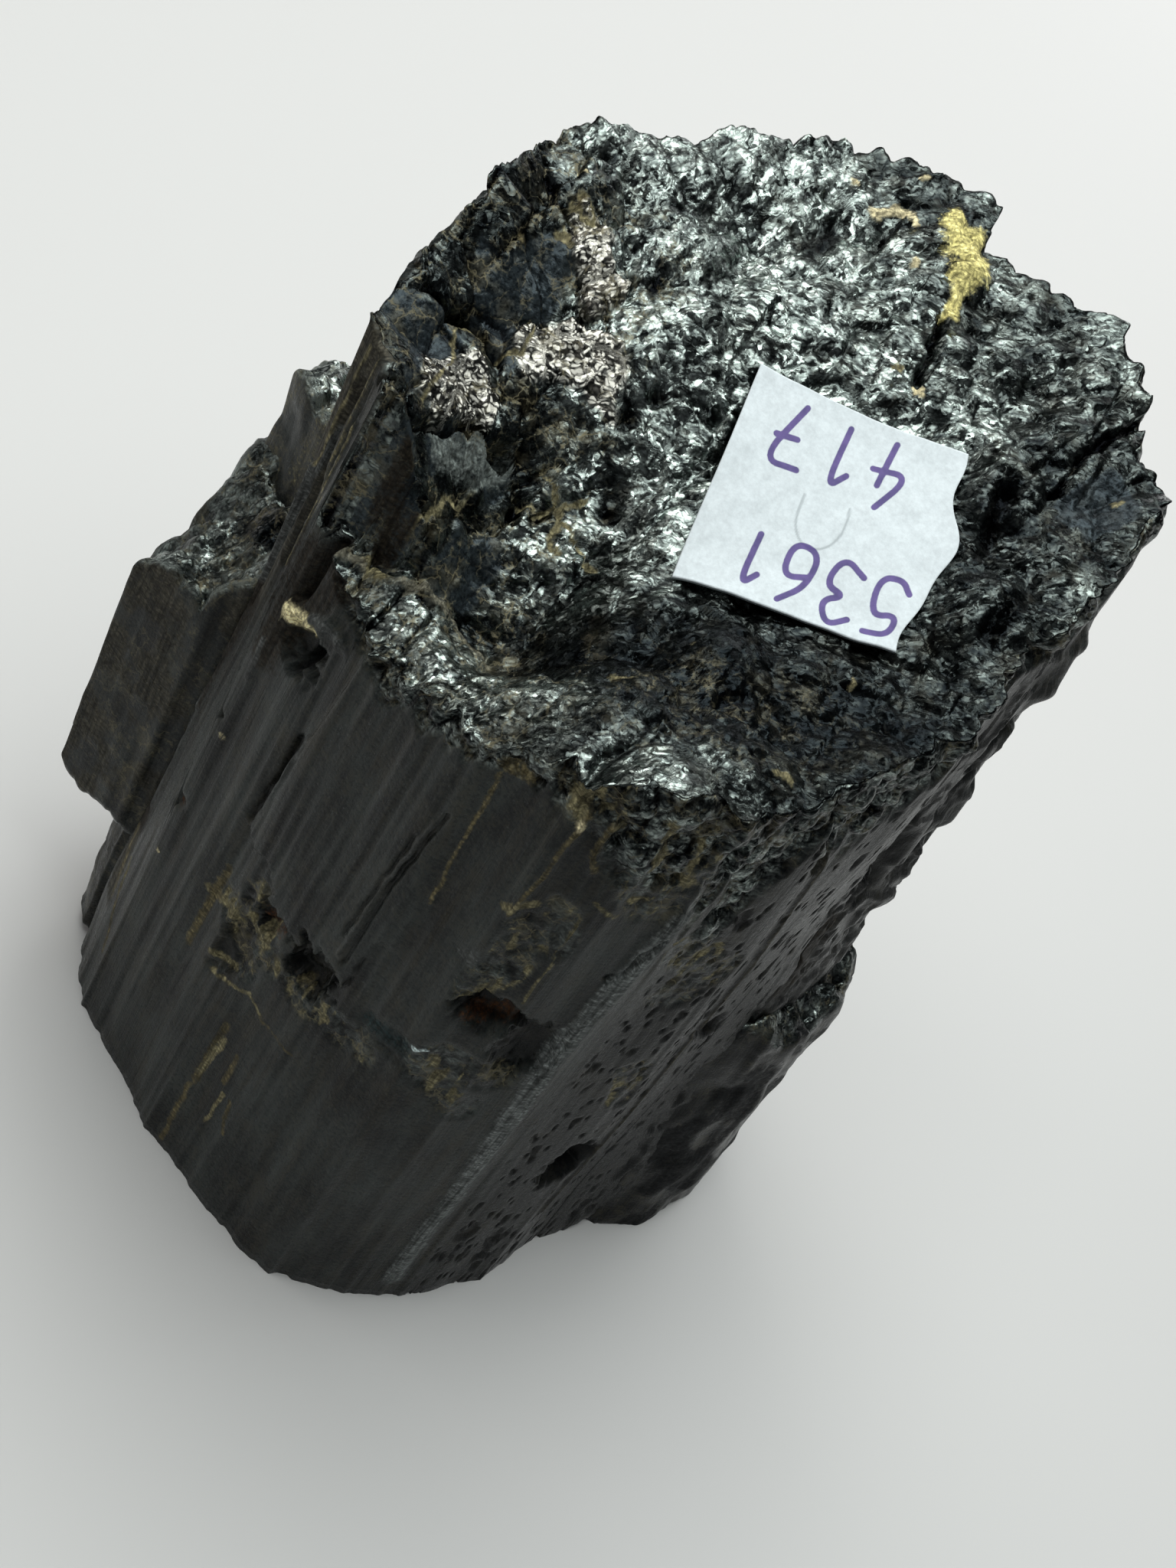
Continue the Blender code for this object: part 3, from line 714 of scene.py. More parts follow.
walls = {
    # how far down from the rim the break reaches, at each ridge
    "brokenReach": {
        "left rib": 0.3,
        "front left": 0.35,
        "front fluted": 1.2,
        "front middle": 2,
        "front broad": 2.2,
        "front corner": 3,
        "front bevel": 6,
        "grey rib": 11,
        "grey groove": 18,
        "front right": 11,
        "right ridge": 4,
        "right front": 3,
        "right lobe": 5,
        "back right": 3,
        "back middle": 3,
        "left back": 3,
        "left middle": 1.5,
    },
    # a raised layer on the front left: its rise, its left edge and the heights of its lower edge along x
    "layer": {
        "rise": 0.55,
        "left": (-16.5, 0.075),
        "foot": ((-16.6, 45.4), (-15.1, 45.2), (-13.3, 46.1), (-12, 44.4), (-11.7, 42.5), (-8.6, 42.5),
                 (-6.2, 39.6), (-2.4, 42.8), (-1.3, 53)),
        "fade": (1, -2.5),
    },
    # grooves round the wall: width, depth, how far each runs up the wall, and seed
    "grooves": {
        "every": ((1.7, 0.16, 40, 101), (0.7, 0.08, 25, 102)),
        "back": ((2.6, 0.55, 160, 160), (1.1, 0.34, 70, 161)),
        "fluted": ((1.2, 0.22, 60, 145),),
    },
    # slow waves of the whole wall and of the back: height, size and seed
    "waves": ((0.5, (4, 4, 60), 21), (0.3, (7, 7, 15), 22)),
    "backWaves": (1.1, (9, 9, 300), 23),
    # the stretches over which each part of the wall begins, along y for the back and else along x
    "back": (2, 14),
    "rightFace": (29, 31),
    "furrowed": (29, 30.5),
    "leftSide": (-21, -23),
    "plateRise": 0.4,
    # angular plates of the right face: size, share of the rise, and seed
    "plates": (((3.2, 3.2, 4.5), 1, 24), ((1.8, 1.8, 2.6), 0.6, 25)),
    "pittedAndShaded": (18.2, 20.2),  # the small black pits, and the painted shade over the right faces, lie to the right of this stretch of x
    "smallPitDepth": 0.3,
    # small black pits: size, the noise where they begin and are deepest, and seed
    "smallPits": (((0.9, 0.9, 2.2), (0.6, 0.75), 140), ((0.5, 0.5, 1.2), (0.6, 0.72), 141)),
    "furrowDepth": 0.35,
    # grains of the broken rim: size, tilt and dome
    "coarse": (2.4, 0.5, 0.5),
    "fine": (0.9, 0.6, 0.6),
    # granular patches with tan dust: radius and the line or the spot that each surrounds
    "granular": (
        (3.2, ((7.7, -32.8, 83), (13.6, -30.4, 81), (16.2, -28.3, 79))),
        (2.4, ((11, -32, 80), (15, -29.3, 74))),
        (1.3, ((9.3, -32.6, 70.7), (10.4, -32.4, 65.8))),
        (1.7, ((7.9, -33, 67.2), (8.2, -33, 61.6), (7.2, -33, 56.8))),
        (2.2, ((8.9, -32.7, 46), (12.9, -31.2, 45))),
        (1.7, ((12.4, -31.6, 39.3), (6.4, -33.3, 44.4))),
        (2.5, ((19.7, -24.4, 65.9), (22.7, -21, 61.3), (21.3, -22.6, 57.9))),
        (1.6, ((23.2, -21.6, 45), (24.1, -20.8, 38.9))),
        (2.0, ((-12.8, -26.4, 41), (-9, -28, 37))),
        (1.6, ((-5, -30, 37), (2, -32.4, 39.5))),
        (1.8, ((-14.5, -25.5, 37), (-10.5, -27.2, 33))),
    ),
    # knobs and notches that break the right outline: half width, rise, and the line or the spot
    "knobs": (
        (2.0, 1.3, ((31.9, 8.5, 86.5), (31.9, 7, 83.5))),
        (1.2, -0.9, ((31.8, 6.5, 79.6), (31.6, 4, 79))),
        (1.6, 0.8, ((31.8, 5.6, 77), (31.9, 4.8, 75.9))),
        (1.0, -0.8, ((31.7, 5, 73.4), (31.5, 3, 72.4))),
        (1.9, 0.9, ((32.9, 5.8, 68.4), (32.9, 5.8, 66.3))),
        (1.0, -0.8, ((33, 6, 63.4), (32.6, 4, 62.5))),
        (2.0, 0.8, ((33.2, 5, 59), (33.5, 3.7, 55))),
        (1.2, -0.7, ((33.6, 4, 51), (33.4, 3, 50))),
    ),
    # marks in space: kind, half width, rise, and the line or the spot
    "marks": (
        ("bark", 2.6, 0, ((-26.9, -15.9, 92), (-26.9, -15.6, 60.5))),
        ("tan", 0.14, 0.1, ((-25.9, -17.2, 92), (-25.7, -17.6, 78))),
        ("tan", 0.12, 0.1, ((-26.9, -16.2, 92), (-27, -15.9, 74))),
        ("grey", 0.16, 0.15, ((-25.2, -18, 92), (-25, -18.3, 80))),
        ("dark", 0.16, -0.4, ((-25.5, -17.7, 90), (-25.3, -18, 79))),
        ("bark", 1.7, 0, ((-28.6, -12.5, 66), (-28.1, -14.2, 56), (-28.1, -14.4, 41), (-27.7, -15.8, 26),
                          (-27.4, -16.8, 14))),
        ("brown", 1.8, 0, ((-21.2, -21.8, 76.7), (-19.4, -22.9, 76), (-20.6, -22, 70.4))),
        ("tan", 0.22, 0.25, ((-27.6, -14.6, 84), (-27.9, -14.4, 62))),
        ("grey", 0.35, 0.35, ((-26.9, -15.7, 78), (-27.2, -15.4, 58), (-27.4, -15.3, 44))),
        ("dark", 0.4, -0.8, ((-26.2, -16.5, 89), (-26.3, -16.3, 83.4), (-25.8, -17, 77),
                             (-25.6, -17.3, 68.8))),
        ("tan", 0.2, 0.25, ((-25, -18.2, 86), (-24.6, -18.6, 70))),
        ("tan", 0.18, 0.2, ((-24.2, -19.2, 80), (-24, -19.6, 66))),
        ("brown", 2.2, 0, ((-26.9, -15.6, 60.5), (-28.1, -14.2, 41.6), (-27.8, -15.6, 27))),
        ("brown", 2.4, 0, ((-22.5, -20.6, 75), (-22.6, -20.6, 62))),
        ("brown", 2.5, 0, ((30.2, -3.8, 55), (30.8, -3.2, 45))),
        ("grey", 0.3, 0.15, ((-26.3, -16.3, 83.4), (-26.8, -15.8, 66))),
        ("grey", 0.4, 0.2, ((-28.5, -14.3, 56.3), (-27.6, -15.8, 36), (-27.3, -16.2, 29.5))),
        ("dark", 0.35, -0.5, ((-26.4, -16.2, 76), (-26.9, -15.6, 60.5))),
        ("grey", 0.8, 0, ((-26, -18.2, 18.2),)),
        ("ochre", 0.4, 0, ((-27.7, -15.7, 24), (-26.6, -17.4, 15))),
        ("tan", 0.25, 0, ((-26.4, -17.4, 22), (-25.4, -18.8, 14))),
        ("ochre", 0.35, 0, ((-25.8, -18, 18), (-24.6, -19.6, 9))),
        ("grey", 0.3, 0.45, ((-15.4, -25.2, 61.7), (-16, -24.8, 54), (-16.5, -24.4, 46.4))),
        ("dark", 0.35, -0.6, ((-16.4, -24.8, 60), (-17.1, -24.2, 47))),
        ("tan", 0.7, 0, ((-17.3, -24.2, 34.6), (-15.4, -25.2, 35.4), (-13.4, -25.9, 35.7))),
        ("tan", 0.5, 0, ((-14.4, -25.9, 29.1), (-11.6, -26.8, 30.5))),
        ("tan", 0.35, 0, ((-13.5, -26.5, 27.5), (-11.1, -27.3, 28.8), (-8.9, -28.4, 30.6),
                          (-6.2, -29.5, 29.5))),
        ("ochre", 0.3, 0, ((-6.2, -29.5, 29.5), (-2.7, -30.9, 30.1))),
        ("ochre", 0.6, 0, ((-9.2, -28.4, 24), (-9.6, -28.5, 13))),
        ("ochre", 0.4, 0, ((-9.7, -28.5, 12), (-9.4, -28.7, 1))),
        ("ochre", 0.45, 0, ((-6.8, -29.3, 22), (-6.9, -29.5, 17))),
        ("tan", 0.3, 0, ((-6.2, -29.6, 16), (-6.5, -29.7, 10))),
        ("tan", 0.4, 0, ((-8.8, -28.6, 22), (-9.4, -28.6, 15))),
        ("ochre", 0.4, 0, ((-5.3, -29.9, 16.1), (-4.3, -30.4, 11.5))),
        ("ochre", 0.6, 0, ((-16.6, -24.5, 39), (-16.9, -24.5, 26))),
        ("rust", 1.5, 0, ((-10.9, -27.3, 40.4), (-9.6, -27.8, 41.2))),
        ("tan", 0.5, 0, ((-12.6, -26.6, 38.4), (-11.6, -27.2, 37.4))),
        ("dark", 1.6, -0.5, ((-6.1, -28.8, 39.6), (-4.3, -29.4, 40.6), (-3, -30.8, 42.6))),
        ("teal", 1.6, -0.3, ((1.9, -32.4, 42.9), (5, -33.2, 44.1))),
        ("dark", 0.3, -0.3, ((1.2, -32.1, 41.2), (5.6, -33.2, 42.4))),
        ("cream", 0.35, 0.1, ((-23.6, -20.8, 30.2),)),
        ("cream", 0.4, 0.1, ((-23, -21.1, 49.9),)),
        ("rust", 0.9, -0.5, ((-24.1, -20.4, 38.3),)),
        ("dark", 0.5, -0.5, ((-23.9, -20.3, 51.6),)),
        ("grey", 0.3, 0.1, ((-23.3, -20.8, 63), (-23.2, -20.9, 57.9))),
        ("dark", 0.5, -1.3, ((-21.6, -21.3, 78.2), (-21.8, -21.5, 75.5), (-22.1, -21.4, 72.4),
                             (-22.3, -21.2, 70.6))),
        ("grey", 0.9, 0.5, ((-19.6, -22.6, 70.4), (-18.2, -23.7, 71.9), (-17, -24.3, 72))),
        ("chip", 0.95, 0.4, ((-21.9, -21.1, 68.2), (-21, -21.5, 68.6), (-20.1, -21.9, 69.2))),
        ("dark", 0.55, -1.3, ((-19.2, -22.9, 70), (-19.3, -22.8, 67), (-19.6, -22.2, 64.1))),
        ("dark", 0.2, -0.4, ((-2.1, -31.3, 71), (-2.9, -31, 60), (-3, -31, 47))),
        ("grey", 0.22, 0.3, ((-2.7, -31.2, 69), (-3.5, -30.8, 58), (-3.6, -30.8, 47.6))),
        ("dark", 0.2, -0.4, ((-3.4, -30.6, 66), (-4.2, -30.4, 50))),
        ("ochre", 0.9, 0.1, ((-0.4, -31.4, 79.6), (1.6, -32, 80.4))),
        ("ochre", 0.3, 0.1, ((-0.4, -31.4, 78.3), (0.1, -31.5, 70), (0.4, -31.8, 61.1))),
        ("ochre", 0.28, 0.3, ((6.8, -33, 81.8), (6.6, -33.3, 75.1), (6.1, -33.4, 67.7))),
        ("cream", 0.45, 0.1, ((6.7, -33.2, 80.4),)),
        ("ochre", 0.4, 0.35, ((8.6, -32.6, 81.8), (8.6, -32.7, 78.1), (9.4, -32.5, 76.4))),
        ("tan", 0.5, 0, ((5.4, -33.4, 67.9), (7.3, -33.1, 70.2))),
        ("tan", 0.35, 0, ((10.8, -32.2, 73.2), (13.1, -31, 71.8))),
        ("tan", 0.18, 0.2, ((10.8, -32.3, 70.9), (10.9, -32.3, 64.4), (11.1, -32.1, 57.9))),
        ("grey", 1.1, -0.2, ((5, -33.3, 59.6), (7, -33.2, 61.5))),
        ("rust", 1.2, -0.4, ((8.3, -32.4, 52.6), (9.9, -32.3, 53.4), (11.4, -31.9, 54.4))),
        ("dark", 0.8, -0.5, ((8.6, -32.4, 55), (10.6, -32, 55.6))),
        # painted highlight: a bright speck where a tiny crystal face catches the light
        ("white", 0.3, 0.15, ((6, -33.3, 45.4), (6.9, -33.3, 46.2))),
        ("dark", 0.3, -0.9, ((17.2, -27.8, 68.9), (16.6, -28.2, 66.8), (16.3, -28.4, 63.7),
                             (15.4, -29.1, 62.4))),
        # the grey rib: its pale grey is partly its own colour and partly a painted highlight along the ridge
        ("ashAndHighlight", 1.2, 0.4, ((17.3, -27.7, 72), (16.8, -28.1, 66.3), (16.2, -28.6, 58.7), (15.8, -28.6, 48.9))),
        ("ashAndHighlight", 1.2, 0.25, ((15.8, -28.6, 48.9), (16.5, -28.8, 35.7), (17.1, -28.4, 19.8), (17.3, -28.6, 4))),
        ("bark", 0.35, 0.3, ((24, -17.2, 76), (25.4, -14.9, 58), (25.7, -15.4, 40), (25.4, -17.3, 27.3),
                             (25.4, -18.5, 14))),
        ("dark", 1.4, -1.2, ((30.9, 0, 66), (30.9, 0.2, 63.7), (31.2, -0.3, 59.5))),
        ("dark", 0.8, -0.8, ((30.4, -2.4, 71.5), (30.5, -2, 70))),
        ("dark", 1.1, -1.0, ((27.2, -12.3, 44.2), (26.9, -12.6, 46))),
        ("dark", 1.8, -0.8, ((24.6, -20, 27), (24.6, -20.4, 24.5))),
    ),
}


# Turns and values of the ridges that are named, ready to be interpolated all the way round
def ridgeValues(byName):
    names = list(crystal["ridges"])
    known = sorted(names.index(name) for name in byName)
    turns = [ridgeTurns[index] for index in known] + [1 + ridgeTurns[known[0]]]
    values = [byName[names[index]] for index in known]
    return turns, values + values[:1]


# Grooves along the crystal: numbers at steps of a width round the perimeter, held straight up the wall and
# fading in and out along it
def grooves(turn, height, width, seed, lastFor=30.0):
    along = stacked(turn * perimeter / width, height / lastFor)
    cells = np.floor(along).astype(np.int64)
    share = along - cells
    sharp = smoothStep(0.25, 0.75, share[..., 0])
    slow = smoothStep(0, 1, share[..., 1])
    total = 0
    for stepA in (0, 1):
        for stepB in (0, 1):
            weight = (sharp if stepA else 1 - sharp) * (slow if stepB else 1 - slow)
            total += weight * cellValue(cells + (stepA, stepB, 0), seed)
    return 2 * total - 1


# Grooves of one kind from the list in walls, added up
def groovesOf(kind, turn, height):
    listed = walls["grooves"][kind]
    return sum(depth * grooves(turn, height, width, seed, lastFor) for width, depth, lastFor, seed in listed)


# Places on the unrolled wall: distance round it, from minus to plus half of the perimeter, and height
def unrolled(turn, height):
    return stacked(((turn + 0.5) % 1 - 0.5) * perimeter, height)


# The same places for a line or a spot in space, at the nearest columns of the section
def unrolledLine(line):
    turns = np.arange(allColumns) / allColumns
    places = []
    for x, y, height in line:
        columnX, columnY = mainSection(turns, np.full_like(turns, height))
        nearest = np.argmin(np.hypot(columnX - x, columnY - y))
        places.append(unrolled(turns[nearest], height))
    return places


wallMarks = [(kind, width, rise, unrolledLine(line)) for kind, width, rise, line in walls["marks"]]
wallGranular = [(radius, unrolledLine(line)) for radius, line in walls["granular"]]
wallKnobs = [(width, rise, unrolledLine(line)) for width, rise, line in walls["knobs"]]


# Share of the raised layer at each point
def layerShare(points):
    layer = walls["layer"]
    ragged = bent(points, 1.3, 0.5, 106)
    x, height = ragged[..., 0], ragged[..., 2]
    foot = np.interp(x, *zip(*layer["foot"]))
    left = layer["left"][0] + layer["left"][1] * (height - foot)
    onLayer = smoothStep(foot - 0.25, foot + 0.25, height) * smoothStep(-0.3, 0.3, points[..., 0] - left)
    return onLayer * smoothStep(*layer["fade"], points[..., 0]) * (points[..., 1] < 0)


# Where the wall is broken like the top: near the rim, further down at some ridges
def brokenShare(turn, below):
    wander = grooves(turn, below * 0, 2.3, 130) + 0.6 * grooves(turn, below * 0, 0.9, 131)
    reach = np.interp(turn, *ridgeValues(walls["brokenReach"])) * (1 + 0.4 * wander)
    reach = np.maximum(reach, 0.3)
    return smoothStep(reach * 1.25, reach * 0.75, below)


# How deep each point lies in the pits that the solid has too, with ragged edges, and its share of a pit
def pitDepth(points):
    ragged = 1 + 0.35 * lumps(points, 1.4, 104) + 0.3 * lumps(points, 0.6, 105)
    sunk, inside = np.zeros_like(ragged), np.zeros_like(ragged)
    for middle, radius, halfHeight, depth in crystal["pits"]:
        away = (points - np.array(middle)) / (radius, radius, halfHeight) / ragged[..., None]
        pit = np.exp(-((away**2).sum(axis=-1) ** 3))
        sunk += depth * pit
        inside = np.maximum(inside, pit)
    return sunk, inside


# The wall at each turn and place on the section: how far it stands out, and what the stone's material reads
def wallSurface(turn, points, below):
    x, height = points[..., 0], points[..., 2]
    flat = unrolled(turn, height)
    askew = bent(points, 1.6, 0.5, 147)

    # lumps, grooves and pits
    atBack = smoothStep(*walls["back"], points[..., 1])
    relief = sum(high * lumps(points, size, seed) for high, size, seed in walls["waves"])
    high, size, seed = walls["backWaves"]
    relief += high * atBack * lumps(points, size, seed)
    ribbed = 1 - 0.6 * smoothStep(*walls["pittedAndShaded"], x)
    relief += atBack * groovesOf("back", turn, height) + ribbed * groovesOf("every", turn, height)
    sunk, hollow = pitDepth(points)
    layer = layerShare(points)
    rise, colour, stained, dark = addMarks(bent(flat, 1.6, 0.16, 107), wallMarks)
    relief += walls["layer"]["rise"] * layer + rise - sunk

    # knobs, plates, small pits and furrows of the right face, and the fluted left side
    pushed = bent(flat, 2.2, 0.6, 152)
    for width, out, line in wallKnobs:
        relief += out * nearLine(pushed, line, width)
    atRight = smoothStep(*walls["rightFace"], x) * (1 - atBack)
    plate = -0.8
    for size, share, seed in walls["plates"]:
        plate = plate + share * smoothStep(-0.08, 0.08, lumps(askew, size, seed))
    relief += walls["plateRise"] * atRight * plate
    pittedAndShaded = smoothStep(*walls["pittedAndShaded"], x) * smoothStep(9, 3, points[..., 1])
    small = 0
    for size, edge, seed in walls["smallPits"]:
        small = np.maximum(small, pittedAndShaded * smoothStep(*edge, lumps(askew, size, seed)))
    furrowed = smoothStep(*walls["furrowed"], x) * smoothStep(12, 6, points[..., 1])
    furrows = grooves(turn, height, 1.1, 150, 6) + 0.4 * lumps(askew, (1, 1, 1.6), 151)
    furrows = furrowed * smoothStep(0.3, 0.5, furrows)
    relief -= walls["smallPitDepth"] * small + walls["furrowDepth"] * furrows
    flutedHigh = smoothStep(62, 72, height) * smoothStep(-13, -16, x)
    fluted = np.maximum(smoothStep(*walls["leftSide"], x), flutedHigh)
    relief += fluted * groovesOf("fluted", turn, height)
    calm = (1 - np.maximum(fluted, atBack)) * smoothStep(-0.6, 0.2, lumps(points, (9, 9, 22), 143))

    # granular patches with tan dust, and the broken rim
    granular = inSpots(bent(flat, 1.6, 0.5, 148), wallGranular, 0.1, 0.5)
    clumps = lumps(askew, (1.0, 1.0, 3.2), 155) + 0.7 * lumps(askew, (0.45, 0.45, 1.1), 156)
    sandy = granular * smoothStep(-0.1, 0.7, clumps)
    colour = np.where((stained < sandy)[..., None], np.array(stains["tan"][0]), colour)
    crumble = brokenShare(turn, below)
    coarse, coarseGap = grains(turn * perimeter, height, *walls["coarse"], 110)
    fine, fineGap = grains(turn * perimeter, height, *walls["fine"], 120)
    relief += crumble * (coarse + (1 - 0.6 * atBack) * fine - 0.9)
    relief += 0.5 * granular * (1 - crumble) * (fine - 0.5)
    # how near each point is to a crease, or lies in a pit, small pit, dark mark or furrow: painted shade
    # there
    creaseShade = np.maximum(creaseShare(coarseGap, 0.2), 0.7 * creaseShare(fineGap, 0.08))
    creaseShade = creaseShade * np.maximum(crumble, 0.8 * granular)
    for share in (0.7 * small, 0.9 * hollow, dark, 0.5 * furrows):
        creaseShade = np.maximum(creaseShade, share)
    return relief, {
        "broken": np.maximum(crumble, 0.3 * granular),
        "grain": stacked(turn * perimeter, height, relief),
        "creaseShade": creaseShade,
        "shine": np.clip(0.3 + 0.3 * manyLumps(points, 4, 48), 0, 1),
        "veined": np.maximum(granular, 0.6 * crumble),
        "stain": colour,
        "stained": np.maximum(stained, sandy),
        "layer": np.maximum(layer, calm),
        "pittedAndShaded": pittedAndShaded,
    }


# The rim, where the walls meet the break, at each turn
def rimPoints(turn):
    x, y = mainSection(turn, np.full_like(turn, crystal["outlineTop"]))
    height = topHeight(x, y)
    smoothRim = topForm(x, y)
    x, y = mainSection(turn, height)
    relief, _ = wallSurface(turn, stacked(x, y, height), smoothRim - height)
    grow = 1 + relief / np.hypot(x, y)
    return x * grow, y * grow, topHeight(x * grow, y * grow), smoothRim


rim = np.array(rimPoints(np.arange(allColumns) / allColumns))


# Places on the walls for a row of columns and a column of shares of the height up to the rim
def wallPoints(columns, share):
    rimX, rimY, rimHeight, smoothRim = rim[:, columns % allColumns]
    turn = columns % allColumns / allColumns
    turns, shares = np.meshgrid(turn, share, indexing="xy")
    height = shares * rimHeight
    x, y = mainSection(turns, height)
    relief, attributes = wallSurface(turns, stacked(x, y, height), smoothRim - height)
    grow = 1 + relief / np.hypot(x, y)
    points = stacked(x * grow, y * grow, height)
    points[-1] = stacked(rimX, rimY, rimHeight)
    return points, attributes


# Meshes

# A smooth mesh from vertices in millimetres, quads and triangles, with a number or a vector for each vertex
# under each attribute's name
def meshObject(name, points, quads, attributes, triangles=np.zeros((0, 3), int)):
    mesh = bpy.data.meshes.new(name)
    faces = quads.tolist() + triangles.tolist()
    mesh.from_pydata((points * millimetre).tolist(), [], faces)
    mesh.polygons.foreach_set("use_smooth", np.full(len(faces), True))
    for key, values in attributes.items():
        kind, field = ("FLOAT_VECTOR", "vector") if values.ndim == 2 else ("FLOAT", "value")
        mesh.attributes.new(key, kind, "POINT").data.foreach_set(field, values.astype(np.float32).ravel())
    mesh.update()
    holder = bpy.data.objects.new(name, mesh)
    bpy.context.scene.collection.objects.link(holder)
    return holder


# Quads of a grid of rows and columns, as vertex numbers
def gridQuads(numbers):
    corners = [numbers[:-1, :-1], numbers[:-1, 1:], numbers[1:, 1:], numbers[1:, :-1]]
    return np.stack(corners, axis=-1).reshape(-1, 4)


# A square grid: each point's place from -1 to 1 each way, and how far out it lies, from 0 to 1
def squareGrid(cells):
    line = np.linspace(-1, 1, cells + 1)
    b, a = np.meshgrid(line, line, indexing="ij")
    return a, b, np.maximum(np.abs(a), np.abs(b))


# The vertex numbers of a square grid, and the ones round its edge
def squareNumbers(cells):
    numbers = np.arange((cells + 1) ** 2).reshape(cells + 1, cells + 1)
    return numbers, np.concatenate([numbers[0, :-1], numbers[:-1, -1], numbers[-1, :0:-1], numbers[:0:-1, 0]])


# Quads of a closed box: a square grid on top, one below it, and rows of vertices round between their edges
def boxQuads(cells, rows=0):
    numbers, loop = squareNumbers(cells)
    lower = numbers + numbers.size
    between = np.arange(rows * len(loop)).reshape(rows, len(loop)) + 2 * numbers.size
    around = np.vstack([loop + numbers.size, between, loop])
    around = np.hstack([around, around[:, :1]])
    return np.vstack([gridQuads(numbers), gridQuads(lower)[:, ::-1], gridQuads(around)])


# Triangles from each edge along a row of vertex numbers to one vertex
def fan(row, tip):
    return np.stack([row[1:], row[:-1], np.full(len(row) - 1, tip)], axis=-1)


# The grid's vertices and attributes as lists, followed by the tips of the fans that close the mesh inside
def withTips(points, attributes, tips):
    longer = {}
    for key, values in attributes.items():
        width = values.shape[2:]
        longer[key] = np.concatenate([values.reshape(-1, *width), np.zeros((len(tips), *width))])
    return np.vstack([points.reshape(-1, 3), tips]), longer


heart = (0.0, 0.0, 50.0)  # a place inside the crystal where the meshes of its pieces close


# The broken top: a square grid laid over the outline, closed below by a fan to the heart
def makeTop():
    a, b, ring = squareGrid(crystal["topCells"])
    turn = squareTurn(a, b)
    turns = np.arange(allColumns + 1) / allColumns
    closed = np.hstack([rim, rim[:, :1]])
    x, y = (np.interp(turn, turns, closed[axis]) * ring for axis in (0, 1))
    z, attributes = breakSurface(x, y)
    points, attributes = withTips(stacked(x, y, z), attributes, [heart])
    numbers, loop = squareNumbers(crystal["topCells"])
    triangles = fan(np.append(loop, loop[0]), numbers.size)
    return meshObject("broken_top", points, gridQuads(numbers), attributes, triangles)


# A stretch of the walls between two ridges: a grid of columns and rows, closed by fans to the heart and to
# the middle of the base
def makeWall(name, first, last):
    columns = np.arange(round(ridgeTurns[first] * allColumns), round(ridgeTurns[last] * allColumns) + 1)
    share = np.linspace(0, 1, crystal["wallRows"] + 1) ** crystal["rowsCloser"]
    points, attributes = wallPoints(columns, share)
    numbers = np.arange(points[..., 0].size).reshape(points.shape[:2])
    points, attributes = withTips(points, attributes, [heart, (0, 0, 0)])
    tip, foot = numbers.size, numbers.size + 1
    edge = np.concatenate([numbers[:, -1], numbers[-1, -2::-1], numbers[-2::-1, 0]])
    sides = np.array([[numbers[0, 0], tip, foot], [numbers[0, -1], foot, tip]])
    triangles = np.vstack([fan(edge, tip), fan(numbers[0], foot), sides])
    return meshObject(name, points, gridQuads(numbers), attributes, triangles)


pieces = [makeTop()]
print("broken top made")
for name, first, last in crystal["wallPieces"]:
    pieces.append(makeWall(name, first, last))
print("walls made")


# Smaller crystals along the sides

# Each has the corners of its section, the heights of its lower and upper ends at the third corner, the slopes
# of its upper end along x and y and of its lower end along x, its lean, how much its breaks shine, which also
# paints highlight and shade, the stain on it and how strong that is, how rough its walls are, and how black
# and pitted. On the low right crystal the black stain and the blackness are painted shade near the floor.
sideCrystals = {
    "left_foot_crystal": {
        "corners": ((-26, -13), (-29.6, -13.6), (-31.4, -11.5), (-31.4, -6), (-26, -4)),
        "ends": (2, 20), "slope": (0.5, 0), "shine": 0.3, "stain": "brown", "stained": 0.6, "rough": 0.5,
    },
    "left_low_crystal": {
        "corners": ((-27, -14), (-30.2, -14.6), (-38.8, -12), (-38.6, -8.5), (-27, -4)),
        "ends": (21, 51), "slope": (0.9, 0.3), "shine": 0.3, "stain": "bark", "stained": 0.9, "rough": 0.2,
    },
    "left_middle_crystal": {
        "corners": ((-25, -9), (-31, -10), (-38, -5), (-36.6, 1), (-25, 2)),
        "ends": (33, 50), "slope": (0.9, 1.4), "under": -1.4,
        "shine": 0.35, "stain": "bark", "stained": 0.8, "rough": 1,
    },
    "left_high_crystal": {
        "corners": ((-24, -3), (-30, -3.5), (-35.4, 0.5), (-34.6, 6), (-24, 7)),
        "ends": (46, 69), "slope": (0.5, -0.1), "under": -1.8,
        "shine": 0.9, "stain": "tan", "stained": 0.5, "rough": 0.6,
    },
    "right_low_crystal": {
        "corners": ((26, -12), (31, -7.6), (35.8, -4.6), (38.4, -1), (40.4, 6), (40.4, 12), (30, 16)),
        "ends": (0, 38), "slope": (-0.3, 0), "lean": -2.4,
        # painted shade: little shine, a full black stain and full blackness darken the foot near the floor
        "shine": 0.1, "stain": "black", "stained": 1, "rough": 0.8, "pittedAndShaded": 1,
    },
}
sideShape = {
    "cells": 40,
    "rows": 90,
    # grains of the upper end, large and small, of the lower end and of the walls: size, tilt and dome
    "large": (2.4, 0.8, 0.5),
    "small": (1.1, 0.8, 0.6),
    "lower": (1.6, 0.8, 0.6),
    "wall": (4.5, 0.35, 0.2),
    "edge": 1.2,  # the corners of the ends are worn off over this length
    "worn": 0.5,  # and by this much
    "grooveDepth": 0.12,
    "grooveWidth": 1.1,
}


